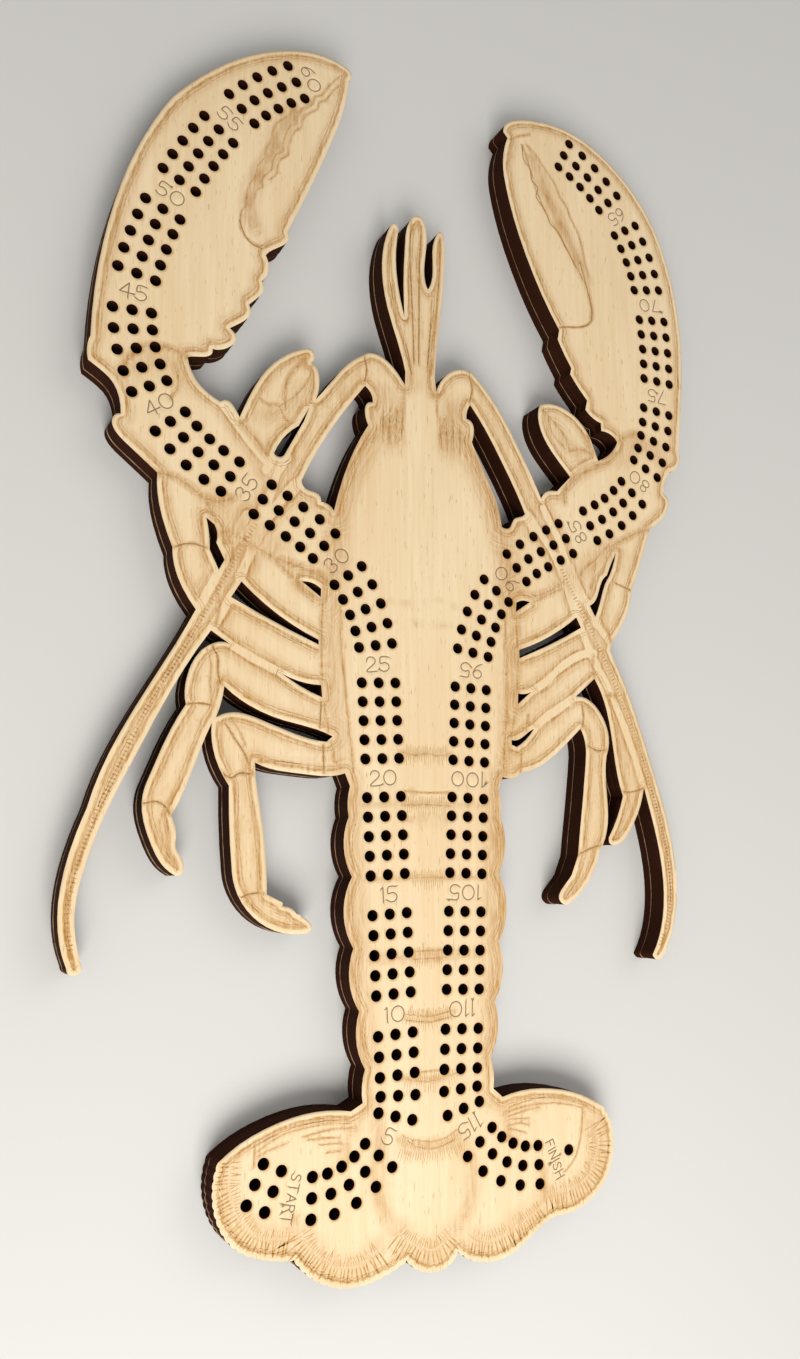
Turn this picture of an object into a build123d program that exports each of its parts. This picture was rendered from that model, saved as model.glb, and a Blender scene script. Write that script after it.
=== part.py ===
from build123d import *
import os
from math import atan2, cos, degrees, hypot, pi, radians, sin

os.makedirs("parts", exist_ok=True)

# Driving dimensions, millimetres and degrees
board_length = 355.6          # claw tips to tail fringe, 14 in
board_width = 203.2           # antenna tip to the back of the other claw, 8 in
ply_thickness = 3.175         # each of the three glued boards, 1/8 in ply
peg_hole_diameter = 3.175     # the standard 1/8 in peg hole
lane_pitch = 5.3              # between the three lanes of a track
row_pitch = 5.46              # along a track; a number takes one skipped row
rows_per_group = 5
groups_per_side = 12
fringe_pitch = 2.4            # along the tail, one tuft of fringe
fringe_bulge = 0.35           # how far a tuft stands out
ring_bulge = 0.0072           # bow of a shell ring per square of its length
peg_slip = 0.175              # a peg's head is this much thinner than its hole
peg_length = 34.0
peg_tip_diameter = 2.3
peg_head_length = 10.0        # the straight part a player holds
peg_tip_bevel = 0.5
pegs_per_player = 2           # one peg for each of a player's two start holes
player_names = ["red", "green", "blue"]
peg_gap = 0.5                 # between pegs lying side by side in the store
peg_headroom = 0.155          # over a peg lying in the store
resting_gap = 0.02            # under a peg lying on the hatch
store_end_room = 1.5          # past each end of a peg
store_side_room = 0.5
store_corner = 3.0
hatch_ledge_side = 3.5        # middle board the hatch rests against
hatch_ledge_end = 7.5         # wider at the ends, for the magnets
hatch_corner = 5.0
hatch_gap = 0.3               # sawn gap round the hatch
nail_notch_radius = 6.0       # finger notch beside the hatch
nail_notch_reach = 4.0        # how far the notch goes past the hatch
magnet_diameter = 4.0
magnet_height = 1.5

# The animal is drawn with its tail's middle line at x = 0 and +Y to the claws.
# The outline is drawn 356.7 x 204.3 and stretched to the board's own size; the
# tracks and the store are placed for a board of 355.6 x 203.2.
drawn_length = 356.7
drawn_width = 204.3
placed_length = 355.6
placed_width = 203.2
spread_x = board_width / placed_width
spread_y = board_length / placed_length

# Sizes that follow from the ones above
peg_count = pegs_per_player * len(player_names)
peg_head_diameter = peg_hole_diameter - peg_slip
peg_spacing = peg_head_diameter + peg_gap
store_width = peg_count * peg_spacing + 2 * store_side_room
store_length = peg_length + 2 * store_end_room
store_depth = resting_gap + peg_head_diameter + peg_headroom


def edge_point(x, y):
    return (x * board_width / drawn_width, y * board_length / drawn_length)


def inner_point(x, y):
    return (x * spread_x, y * spread_y)


def run(*points):
    # one smooth edge of the outline, or a straight one
    placed = [edge_point(x, y) for x, y in points]
    if len(placed) == 2:
        Line(*placed)
    else:
        Spline(*placed)


def bowed(start, end, bulge):
    # a shallow arc standing out to the left of the way from start to end
    run_x = end[0] - start[0]
    run_y = end[1] - start[1]
    long = hypot(run_x, run_y)
    middle_x = (start[0] + end[0]) / 2 - run_y / long * bulge
    middle_y = (start[1] + end[1]) / 2 + run_x / long * bulge
    ThreePointArc(start, (middle_x, middle_y), end)


def fringe(*points):
    # tufts of even length along one lobe of the tail fan
    base = Spline(*[edge_point(x, y) for x, y in points], mode=Mode.PRIVATE)
    tufts = max(2, round(base.length / fringe_pitch))
    steps = [base @ (i / tufts) for i in range(tufts + 1)]
    for here, there in zip(steps, steps[1:]):
        bowed((here.X, here.Y), (there.X, there.Y), fringe_bulge)


# Where two rings of the tail meet, as distance below the middle and half width
ring_joints = [(31.3, 24.2), (39.9, 24.6), (56.5, 23.6), (76.0, 23.2)]
ring_joints += [(93.0, 21.5), (108.4, 19.8), (117.2, 20.5)]


def shell_rings(side):
    # side +1 is run downwards on the right, side -1 upwards on the left
    ends = [edge_point(side * half, -low) for low, half in ring_joints]
    if side < 0:
        ends = ends[::-1]
    for here, there in zip(ends, ends[1:]):
        long = hypot(there[0] - here[0], there[1] - here[1])
        bowed(here, there, ring_bulge * long * long)


# The outline goes once round the animal, clockwise from the left of the tail
with BuildSketch() as outline:
    with BuildLine():
        # left side of the tail
        run((-24.0, -119.0), (-20.5, -117.2))
        shell_rings(-1)
        # left hind leg: thigh, shin and foot
        run((-24.2, -31.3), (-25.7, -27.7))
        run((-25.7, -27.7), (-30.7, -28.6), (-39.3, -28.0), (-46.0, -27.3), (-52.3, -25.3))
        run((-52.3, -25.3), (-51.9, -30.0), (-49.7, -43.3), (-48.6, -56.0), (-48.5, -60.7))
        run((-48.5, -60.7), (-44.0, -63.0))
        run((-44.0, -63.0), (-44.0, -64.0))
        run((-44.0, -64.0), (-42.0, -64.3), (-40.0, -66.1))
        run((-40.0, -66.1), (-36.7, -67.9), (-35.5, -69.7), (-36.9, -71.3))
        run((-36.9, -71.3), (-44.0, -71.0), (-50.5, -68.0), (-55.5, -62.7), (-58.3, -54.7))
        run((-58.3, -54.7), (-59.2, -43.0), (-59.5, -31.7))
        run((-59.5, -31.7), (-62.6, -26.3), (-64.4, -20.0), (-64.5, -14.9))
        # left third leg
        run((-64.5, -14.9), (-66.7, -20.0), (-70.8, -31.0), (-75.0, -39.7))
        run((-75.0, -39.7), (-73.7, -43.5), (-73.7, -46.7))
        run((-73.7, -46.7), (-73.0, -49.3), (-71.4, -52.3), (-71.7, -54.6), (-73.6, -55.3))
        run((-73.6, -55.3), (-76.4, -53.2), (-80.5, -46.3), (-82.8, -37.0), (-81.7, -31.3))
        run((-81.7, -31.3), (-78.2, -22.7), (-74.7, -15.3), (-71.7, -10.3))
        run((-71.7, -10.3), (-72.1, -7.5), (-71.6, -3.0), (-70.1, 1.3), (-67.7, 4.7))
        run((-67.7, 4.7), (-65.3, 6.4), (-62.7, 7.3), (-59.7, 6.8))
        run((-59.7, 6.8), (-65.2, 10.3))
        # left antenna, down its inner edge and back up the outer one
        run((-65.2, 10.3), (-71.2, 1.3), (-84.0, -22.7), (-91.7, -38.7), (-97.3, -54.7))
        run((-97.3, -54.7), (-98.8, -66.0), (-96.8, -76.7))
        run((-96.8, -76.7), (-97.0, -78.6), (-98.8, -79.3), (-100.4, -77.5))
        run((-100.4, -77.5), (-102.8, -68.0), (-102.0, -54.7), (-96.7, -38.0))
        run((-96.7, -38.0), (-88.0, -16.7), (-78.3, 0.0), (-69.5, 15.7))
        # left second leg
        run((-69.5, 15.7), (-72.7, 20.3), (-75.3, 26.0), (-76.3, 32.3))
        run((-76.3, 32.3), (-78.7, 38.5), (-80.5, 45.5), (-80.9, 52.6))
        # left arm, outer side
        run((-80.9, 52.6), (-90.3, 60.3))
        run((-90.3, 60.3), (-92.7, 62.9), (-93.5, 65.2), (-92.9, 67.0), (-91.2, 67.7))
        run((-91.2, 67.7), (-91.6, 71.5), (-93.7, 76.3), (-97.0, 79.2), (-100.3, 81.3))
        run((-100.3, 81.3), (-100.7, 84.2), (-99.9, 88.3))
        # left claw: back, tip, then down the knobbed inner edge
        run((-99.9, 88.3), (-99.3, 101.0), (-95.5, 125.0), (-89.3, 145.0), (-79.0, 165.0))
        run((-79.0, 165.0), (-63.7, 180.0), (-45.7, 190.0), (-33.5, 192.3), (-25.2, 190.6))
        run((-25.2, 190.6), (-23.6, 188.6), (-24.5, 186.3))
        run((-24.5, 186.3), (-25.2, 180.5), (-30.3, 164.0), (-38.0, 145.3), (-44.1, 131.5))
        run((-44.1, 131.5), (-43.9, 129.0), (-46.7, 126.1), (-50.8, 122.5))
        run((-50.8, 122.5), (-49.8, 118.5), (-51.9, 114.3))
        run((-51.9, 114.3), (-51.3, 111.8), (-53.2, 108.8), (-55.7, 106.3))
        run((-55.7, 106.3), (-55.2, 103.7), (-57.5, 100.7), (-61.3, 98.0))
        run((-61.3, 98.0), (-59.4, 95.0), (-61.4, 92.3), (-66.2, 90.9))
        run((-66.2, 90.9), (-66.5, 89.2), (-69.5, 87.9), (-73.3, 87.0))
        # left arm, inner side
        run((-73.3, 87.0), (-72.3, 83.7), (-70.2, 80.3), (-67.3, 77.7), (-63.7, 75.7))
        run((-63.7, 75.7), (-61.5, 76.4), (-59.7, 74.9), (-58.0, 72.0))
        # left foreleg with its small pincer
        run((-58.0, 72.0), (-55.4, 78.3), (-50.0, 87.7), (-43.0, 94.0), (-38.3, 96.2))
        run((-38.3, 96.2), (-35.8, 95.6), (-35.5, 93.9), (-36.5, 92.3))
        run((-36.5, 92.3), (-34.5, 90.4), (-33.9, 87.0), (-34.1, 84.2), (-35.0, 81.2))
        # left feeler joint, up to the head
        run((-35.0, 81.2), (-27.7, 90.7), (-23.7, 95.0), (-19.9, 97.6))
        run((-19.9, 97.6), (-16.6, 98.9), (-13.0, 97.9), (-9.3, 95.0), (-6.0, 90.7))
        # three head spines
        run((-6.0, 90.7), (-5.8, 95.0))
        run((-5.8, 95.0), (-8.4, 104.3), (-11.9, 115.3), (-13.5, 127.5), (-10.7, 141.3))
        run((-10.7, 141.3), (-9.1, 142.9), (-7.7, 141.3))
        run((-7.7, 141.3), (-8.8, 132.0), (-8.1, 122.5), (-6.0, 112.7))
        run((-6.0, 112.7), (-6.2, 124.0), (-5.6, 136.5), (-4.3, 144.0), (-2.4, 146.9))
        run((-2.4, 146.9), (0.4, 146.8), (1.5, 144.5), (1.3, 133.3), (2.2, 123.3))
        run((2.2, 123.3), (4.0, 133.0), (4.9, 141.0), (6.7, 143.7), (8.2, 142.0))
        run((8.2, 142.0), (8.2, 132.0), (6.7, 117.0), (4.2, 94.5))
        run((4.2, 94.5), (4.8, 90.5))
        # right feeler joint and antenna, down to the arm
        run((4.8, 90.5), (8.2, 96.3), (12.0, 98.8), (15.8, 99.2), (18.9, 97.4))
        run((18.9, 97.4), (25.7, 90.0), (31.7, 80.7), (38.0, 69.0), (42.0, 60.9))
        run((42.0, 60.9), (43.9, 63.5), (46.0, 64.2), (48.0, 64.2))
        run((48.0, 64.2), (53.3, 69.7))
        # right foreleg
        run((53.3, 69.7), (48.6, 74.8), (43.6, 81.5), (41.6, 88.3), (42.3, 92.2))
        run((42.3, 92.2), (46.7, 93.4), (53.5, 91.9), (58.5, 88.3), (61.9, 83.3))
        run((61.9, 83.3), (64.5, 76.7))
        # right arm, inner side
        run((64.5, 76.7), (68.7, 79.3), (71.2, 82.0), (72.5, 84.4))
        run((72.5, 84.4), (71.0, 86.0), (66.2, 87.3))
        # right claw: up the toothed inner edge, over the tip and down the back
        run((66.2, 87.3), (66.1, 90.0))
        run((66.1, 90.0), (62.7, 91.4), (60.1, 93.7))
        run((60.1, 93.7), (60.9, 97.0))
        run((60.9, 97.0), (57.7, 100.7), (54.5, 105.0))
        run((54.5, 105.0), (55.0, 107.2))
        run((55.0, 107.2), (52.3, 111.7), (50.0, 116.2))
        run((50.0, 116.2), (50.7, 119.6))
        run((50.7, 119.6), (45.3, 128.7), (39.0, 142.0), (33.7, 156.7), (30.8, 169.3))
        run((30.8, 169.3), (30.7, 176.5), (32.5, 183.3))
        run((32.5, 183.3), (30.9, 185.0))
        run((30.9, 185.0), (31.7, 187.9), (35.0, 190.3), (41.0, 192.2), (49.5, 193.0))
        run((49.5, 193.0), (61.5, 191.2), (75.0, 184.0), (85.0, 174.7), (93.7, 160.7))
        run((93.7, 160.7), (99.1, 142.7), (101.2, 123.0), (100.3, 104.7), (97.9, 85.0))
        # right arm, outer side
        run((97.9, 85.0), (98.5, 82.3), (97.5, 79.5), (94.0, 77.1))
        run((94.0, 77.1), (91.8, 73.6), (91.0, 68.7))
        run((91.0, 68.7), (92.6, 67.4), (92.7, 64.9), (90.0, 60.3), (84.3, 55.7))
        # right second leg
        run((84.3, 55.7), (82.7, 51.0), (79.6, 42.7), (75.9, 34.0))
        run((75.9, 34.0), (75.2, 29.5), (73.0, 24.4), (67.3, 16.0))
        run((67.3, 16.0), (66.5, 13.5))
        # right antenna, down the outer edge and back up the inner one
        run((66.5, 13.5), (73.3, 0.0), (81.7, -24.0), (87.0, -41.3), (89.5, -58.0))
        run((89.5, -58.0), (88.9, -68.7), (86.0, -78.0), (82.6, -83.3))
        run((82.6, -83.3), (80.4, -83.9), (78.9, -82.4))
        run((78.9, -82.4), (82.6, -74.5), (84.3, -62.5), (83.0, -49.5), (78.0, -30.0))
        # right third leg, foot then shin
        run((78.0, -30.0), (76.3, -36.0), (72.3, -43.3), (68.5, -47.4), (65.9, -48.3))
        run((65.9, -48.3), (64.0, -47.7), (63.8, -45.8))
        run((63.8, -45.8), (66.3, -41.5), (69.7, -33.0))
        run((69.7, -33.0), (67.3, -23.3), (66.0, -13.5), (64.3, -5.0), (60.2, 4.1))
        run((60.2, 4.1), (52.9, -2.0))
        # right hind leg: knee, shin, foot and thigh
        run((52.9, -2.0), (57.7, -2.8), (62.4, -7.3), (64.9, -13.5), (63.9, -20.3))
        run((63.9, -20.3), (63.5, -32.0), (62.4, -46.0), (60.1, -50.0))
        run((60.1, -50.0), (57.7, -56.0), (52.6, -62.5), (48.3, -65.8))
        run((48.3, -65.8), (46.0, -65.8), (44.7, -64.3), (46.3, -60.7), (49.7, -56.7))
        run((49.7, -56.7), (52.0, -51.3))
        run((52.0, -51.3), (53.6, -40.0), (55.8, -23.5), (56.1, -17.7), (54.3, -12.1))
        run((54.3, -12.1), (46.5, -19.0), (40.5, -23.3), (32.3, -26.3))
        run((32.3, -26.3), (28.8, -28.1), (25.7, -27.7))
        run((25.7, -27.7), (24.2, -31.3))
        # right side of the tail
        shell_rings(1)
        run((20.5, -117.2), (23.5, -119.8))
        # tail fan, right to left
        run((23.5, -119.8), (30.0, -118.6), (40.0, -119.0), (50.0, -121.5), (57.5, -125.5))
        fringe((57.5, -125.5), (61.5, -136.5), (57.0, -148.0), (49.5, -153.0), (41.0, -154.2))
        fringe((41.0, -154.2), (34.0, -157.2), (26.0, -162.2), (17.0, -163.3), (8.2, -159.2))
        fringe((8.2, -159.2), (5.0, -162.6), (0.7, -163.4), (-4.0, -162.2), (-7.5, -159.2))
        fringe((-7.5, -159.2), (-16.0, -162.6), (-25.0, -163.4), (-32.5, -161.0), (-40.0, -154.2))
        fringe((-40.0, -154.2), (-49.0, -152.6), (-56.5, -148.7), (-61.7, -139.0), (-60.5, -127.5))
        run((-60.5, -127.5), (-55.0, -123.8), (-48.0, -120.8), (-38.0, -118.4), (-24.0, -119.0))
    make_face()
    # openings between the antennae and the carapace
    with BuildLine():
        run((-19.3, 88.1), (-17.4, 86.2), (-16.7, 83.3))
        run((-16.7, 83.3), (-18.5, 82.8), (-19.3, 80.0), (-18.2, 76.0))
        run((-18.2, 76.0), (-23.5, 66.0), (-27.3, 55.5), (-29.2, 48.2))
        run((-29.2, 48.2), (-31.3, 50.1), (-33.2, 50.4))
        run((-33.2, 50.4), (-34.6, 52.9), (-37.2, 53.5), (-39.3, 56.0))
        run((-39.3, 56.0), (-29.3, 74.3), (-24.0, 81.9), (-19.3, 88.1))
    make_face(mode=Mode.SUBTRACT)
    with BuildLine():
        run((16.6, 88.1), (21.5, 81.5), (27.2, 72.0), (32.4, 62.5), (35.8, 55.2))
        run((35.8, 55.2), (33.6, 53.9), (31.9, 53.2), (30.6, 50.9), (27.2, 50.0))
        run((27.2, 50.0), (26.2, 55.5), (22.9, 63.8), (17.0, 76.0))
        run((17.0, 76.0), (17.8, 79.5), (17.2, 82.3), (15.2, 83.3))
        run((15.2, 83.3), (15.6, 86.2), (16.6, 88.1))
    make_face(mode=Mode.SUBTRACT)
    # openings between the left limbs
    with BuildLine():
        run((-37.0, 78.4), (-40.3, 72.3))
        run((-40.3, 72.3), (-44.4, 68.6), (-47.7, 63.0))
        run((-47.7, 63.0), (-46.4, 62.1), (-44.7, 62.7))
        run((-44.7, 62.7), (-38.6, 74.0))
        run((-38.6, 74.0), (-37.0, 78.4))
    make_face(mode=Mode.SUBTRACT)
    with BuildLine():
        run((-67.1, 41.7), (-64.7, 40.0))
        run((-64.7, 40.0), (-63.9, 37.5), (-64.1, 34.9))
        run((-64.1, 34.9), (-61.7, 30.3))
        run((-61.7, 30.3), (-63.3, 27.3))
        run((-63.3, 27.3), (-66.0, 32.7))
        run((-66.0, 32.7), (-66.2, 37.0), (-67.1, 41.7))
    make_face(mode=Mode.SUBTRACT)
    with BuildLine():
        run((-39.0, 26.4), (-35.4, 26.1), (-33.1, 24.7))
        run((-33.1, 24.7), (-33.2, 22.3))
        run((-33.2, 22.3), (-39.0, 26.4))
    make_face(mode=Mode.SUBTRACT)
    with BuildLine():
        run((-56.8, 24.7), (-59.7, 20.0))
        run((-59.7, 20.0), (-46.0, 13.6), (-33.8, 8.5))
        run((-33.8, 8.5), (-33.8, 9.9))
        run((-33.8, 9.9), (-45.5, 15.9), (-56.8, 24.7))
    make_face(mode=Mode.SUBTRACT)
    with BuildLine():
        run((-44.8, -0.4), (-39.0, -2.4), (-33.0, -3.0))
        run((-33.0, -3.0), (-32.7, -6.5))
        run((-32.7, -6.5), (-38.0, -4.3), (-44.8, -0.4))
    make_face(mode=Mode.SUBTRACT)
    with BuildLine():
        run((-61.2, -4.8), (-54.5, -9.5), (-45.0, -13.2), (-34.0, -15.7), (-29.5, -17.4))
        run((-29.5, -17.4), (-31.3, -19.0))
        run((-31.3, -19.0), (-41.0, -17.0), (-51.3, -13.3), (-57.7, -11.8), (-63.4, -13.4))
        run((-63.4, -13.4), (-61.8, -8.5), (-61.2, -4.8))
    make_face(mode=Mode.SUBTRACT)
    # openings between the right limbs
    with BuildLine():
        run((70.3, 46.3), (69.3, 42.7), (67.3, 38.1))
        run((67.3, 38.1), (65.9, 36.0), (64.2, 31.7), (61.3, 24.2))
        run((61.3, 24.2), (59.3, 27.7))
        run((59.3, 27.7), (62.0, 30.3), (64.0, 35.5), (66.4, 38.4))
        run((66.4, 38.4), (68.6, 43.2), (70.3, 46.3))
    make_face(mode=Mode.SUBTRACT)
    with BuildLine():
        run((31.8, 26.3), (34.0, 27.2), (36.8, 26.9))
        run((36.8, 26.9), (31.6, 23.4))
        run((31.6, 23.4), (31.8, 26.3))
    make_face(mode=Mode.SUBTRACT)
    with BuildLine():
        run((54.0, 23.5), (55.7, 20.2))
        run((55.7, 20.2), (43.3, 13.7), (32.5, 8.9))
        run((32.5, 8.9), (32.5, 11.5))
        run((32.5, 11.5), (43.3, 16.3), (54.0, 23.5))
    make_face(mode=Mode.SUBTRACT)
    with BuildLine():
        run((31.8, -2.1), (34.3, -2.1), (36.6, -1.3))
        run((36.6, -1.3), (31.6, -5.4))
        run((31.6, -5.4), (31.8, -2.1))
    make_face(mode=Mode.SUBTRACT)
    with BuildLine():
        run((29.1, -16.5), (32.3, -15.9), (34.7, -14.2), (37.2, -12.8))
        run((37.2, -12.8), (34.4, -16.0), (30.9, -18.6))
        run((30.9, -18.6), (29.1, -17.9))
        run((29.1, -17.9), (29.1, -16.5))
    make_face(mode=Mode.SUBTRACT)

# The assembly frame stands under the middle of the outline
reach = outline.sketch.bounding_box()
middle_x = (reach.min.X + reach.max.X) / 2
middle_y = (reach.min.Y + reach.max.Y) / 2


def level(height):
    # a level plane with the drawing's own axes, at a height over the table
    return Plane(origin=(-middle_x, -middle_y, height))


# A track's middle lane: its start at the tail, then (rows long, turn per row).
# Both tracks turn the same way up to the wrists; the claws are different shapes.
shared_bends = [(7.4, 12.8), (21.45, 0.0), (8.85, 6.55), (5.05, 0.0)]
left_bends = shared_bends + [(11.75, -6.43), (9.8, -2.11), (9.0, -4.14)]
right_bends = shared_bends + [(8.15, -6.43), (9.05, -2.16), (12.0, -5.29)]
track_start = (-35.05, -139.3)
track_heading = -2.0
start_place = (-48.2, -135.1)
start_turn = -115.0
finish_place = (45.4, -136.4)
store_middle = (0.0, 56.0)    # up the carapace, clear of both tracks


def track_place(bends, rows):
    # where the middle lane is after so many row pitches, and its heading
    x, y = track_start
    heading = radians(track_heading)
    left = rows
    for long, turn in bends:
        step = min(left, long)
        bend = radians(turn)
        if abs(bend) < 1e-6:
            x += step * row_pitch * cos(heading)
            y += step * row_pitch * sin(heading)
        else:
            swung = heading + bend * step
            x += (sin(swung) - sin(heading)) * row_pitch / bend
            y -= (cos(swung) - cos(heading)) * row_pitch / bend
            heading = swung
        left -= step
    return x, y, heading


def track_holes(side, bends):
    # side -1 is the left track and +1 the right one, its mirror image
    holes = []
    for row in range(groups_per_side * rows_per_group):
        x, y, heading = track_place(bends, row + row // rows_per_group)
        for lane in (-1, 0, 1):
            hole_x = x - sin(heading) * lane * lane_pitch
            hole_y = y + cos(heading) * lane * lane_pitch
            holes.append(inner_point(-side * hole_x, hole_y))
    return holes


# START is two rows of three on the left lobe, FINISH a single hole on the right
across_x = cos(radians(start_turn))
across_y = sin(radians(start_turn))
start_holes = []
for row in range(pegs_per_player):
    for lane in (-1, 0, 1):
        across = lane * lane_pitch
        along = (row - (pegs_per_player - 1) / 2) * row_pitch
        hole_x = start_place[0] + across * across_x - along * across_y
        hole_y = start_place[1] + across * across_y + along * across_x
        start_holes.append(inner_point(hole_x, hole_y))
finish_hole = inner_point(*finish_place)
peg_holes = track_holes(-1, left_bends) + track_holes(1, right_bends)
peg_holes += start_holes + [finish_hole]

# Hatch and store, centred on the carapace
hatch_length = store_length + 2 * hatch_ledge_end
hatch_width = store_width + 2 * hatch_ledge_side
store_place = inner_point(*store_middle)
magnet_offset = store_length / 2 + hatch_ledge_end / 2
magnet_places = [(store_place[0], store_place[1] + s * magnet_offset) for s in (-1, 1)]
magnet_names = ["tail", "head"]
notch_x = store_place[0] + hatch_width / 2 + nail_notch_reach - nail_notch_radius

# Top board, with every peg hole right through; where a peg is thicker than one
# ply the store goes on up into this board's underside
store_rise = store_depth - ply_thickness
with BuildPart() as top_board:
    with BuildSketch(level(2 * ply_thickness)):
        add(outline.sketch)
        with Locations(*peg_holes):
            Circle(peg_hole_diameter / 2, mode=Mode.SUBTRACT)
    extrude(amount=ply_thickness)
    if store_rise > peg_headroom / 2:
        with BuildSketch(level(2 * ply_thickness)):
            with Locations(store_place):
                RectangleRounded(store_width, store_length, store_corner)
        extrude(amount=store_rise, mode=Mode.SUBTRACT)

# Middle board: the same holes, the peg store, and pockets for two magnets
with BuildPart() as middle_board:
    with BuildSketch(level(ply_thickness)):
        add(outline.sketch)
        with Locations(*peg_holes):
            Circle(peg_hole_diameter / 2, mode=Mode.SUBTRACT)
        with Locations(store_place):
            RectangleRounded(store_width, store_length, store_corner, mode=Mode.SUBTRACT)
    extrude(amount=ply_thickness)
    with BuildSketch(level(ply_thickness)):
        with Locations(*magnet_places):
            Circle(magnet_diameter / 2)
    extrude(amount=magnet_height, mode=Mode.SUBTRACT)

# Bottom board: closes the peg holes, open only for the hatch and finger notch
with BuildPart() as bottom_board:
    with BuildSketch(level(0)):
        add(outline.sketch)
        with Locations(store_place):
            gap_width = hatch_width + 2 * hatch_gap
            gap_length = hatch_length + 2 * hatch_gap
            RectangleRounded(gap_width, gap_length, hatch_corner + hatch_gap, mode=Mode.SUBTRACT)
        with Locations((notch_x, store_place[1])):
            Circle(nail_notch_radius, mode=Mode.SUBTRACT)
    extrude(amount=ply_thickness)

# Hatch, flush with the underside, with its own two magnet pockets
with BuildPart() as store_hatch:
    with BuildSketch(level(0)):
        with Locations(store_place):
            RectangleRounded(hatch_width, hatch_length, hatch_corner)
    extrude(amount=ply_thickness)
    with BuildSketch(level(ply_thickness - magnet_height)):
        with Locations(*magnet_places):
            Circle(magnet_diameter / 2)
    extrude(amount=magnet_height, mode=Mode.SUBTRACT)

boards = {"top_board": top_board, "middle_board": middle_board}
boards["bottom_board"] = bottom_board
boards["store_hatch"] = store_hatch
for name, piece in boards.items():
    piece.part.label = name
    export_step(piece.part, f"parts/{name}.step")

# Disc magnets, face to face across the joint between hatch and middle board
for end_name, place in zip(magnet_names, magnet_places):
    with BuildPart() as board_magnet:
        with BuildSketch(level(ply_thickness)):
            with Locations(place):
                Circle(magnet_diameter / 2)
        extrude(amount=magnet_height)
    board_magnet.part.label = f"board_magnet_{end_name}"
    export_step(board_magnet.part, f"parts/board_magnet_{end_name}.step")
    with BuildPart() as hatch_magnet:
        with BuildSketch(level(ply_thickness - magnet_height)):
            with Locations(place):
                Circle(magnet_diameter / 2)
        extrude(amount=magnet_height)
    hatch_magnet.part.label = f"hatch_magnet_{end_name}"
    export_step(hatch_magnet.part, f"parts/hatch_magnet_{end_name}.step")

# Pegs, side by side in the store, each lying on the hatch
for number in range(peg_count):
    player = player_names[number // pegs_per_player]
    peg_x = store_place[0] + (number - (peg_count - 1) / 2) * peg_spacing - middle_x
    peg_y = store_place[1] - middle_y
    peg_z = ply_thickness + resting_gap + peg_head_diameter / 2
    turned_y = 1 if number % 2 == 0 else -1
    peg_plane = Plane(origin=(peg_x, peg_y, peg_z), x_dir=(turned_y, 0, 0), z_dir=(0, 0, 1))
    half = peg_length / 2
    head = peg_head_diameter / 2
    tip = peg_tip_diameter / 2
    dome = half - head
    with BuildPart() as peg:
        with BuildSketch(peg_plane):
            with BuildLine():
                Polyline((0, -half), (tip - peg_tip_bevel, -half), (tip, -half + peg_tip_bevel))
                Line((tip, -half + peg_tip_bevel), (head, half - peg_head_length))
                Line((head, half - peg_head_length), (head, dome))
                CenterArc((0, dome), head, 0, 90)
                Line((0, half), (0, -half))
            make_face()
        revolve(axis=Axis(peg_plane.origin, peg_plane.y_dir))
    label = f"peg_{player}_{number % pegs_per_player + 1}"
    peg.part.label = label
    export_step(peg.part, f"parts/{label}.step")
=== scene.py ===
# A cribbage board: three glued layers of birch plywood cut as a lobster, with the
# animal's drawing engraved into the top layer. All work is in millimetres until a
# mesh is made; the drawing's own axes have the tail's middle line at x = 0.
import bpy
import bmesh
import math
import random
from mathutils import Matrix, Vector, kdtree
from mathutils.bvhtree import BVHTree
from mathutils.geometry import delaunay_2d_cdt


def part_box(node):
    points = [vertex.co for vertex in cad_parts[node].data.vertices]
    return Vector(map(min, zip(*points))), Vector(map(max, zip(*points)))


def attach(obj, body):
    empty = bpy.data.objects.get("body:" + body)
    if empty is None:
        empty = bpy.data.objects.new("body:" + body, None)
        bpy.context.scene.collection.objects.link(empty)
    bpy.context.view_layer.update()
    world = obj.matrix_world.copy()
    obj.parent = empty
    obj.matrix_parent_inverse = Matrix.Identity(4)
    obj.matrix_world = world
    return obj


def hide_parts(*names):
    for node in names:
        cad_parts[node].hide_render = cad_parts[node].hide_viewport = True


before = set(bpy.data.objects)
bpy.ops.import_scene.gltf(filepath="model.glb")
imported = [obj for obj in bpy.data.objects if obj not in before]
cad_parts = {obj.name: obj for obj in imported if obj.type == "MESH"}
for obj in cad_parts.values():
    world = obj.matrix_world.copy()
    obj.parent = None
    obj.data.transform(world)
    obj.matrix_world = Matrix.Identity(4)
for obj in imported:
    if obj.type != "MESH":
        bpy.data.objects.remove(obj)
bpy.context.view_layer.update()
print("frame loaded:", len(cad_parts), "nodes")

mm = 0.001
weldWithin = 1e-6              # metres
levelWithin = 2e-6
drawing = {
    "shiftX": 0.88,           # from the drawing's origin to the frame's
    "shiftY": -14.54,
    "outlineX": 203.2 / 204.3,  # the outline is drawn a touch larger than it is cut
    "outlineY": 355.6 / 356.7,
}


def fromOutline(x, y):
    return (x * drawing["outlineX"] + drawing["shiftX"],
            y * drawing["outlineY"] + drawing["shiftY"])


def fromTrack(x, y):
    return (x + drawing["shiftX"], y + drawing["shiftY"])


# small geometry helpers, all in millimetres


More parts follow.
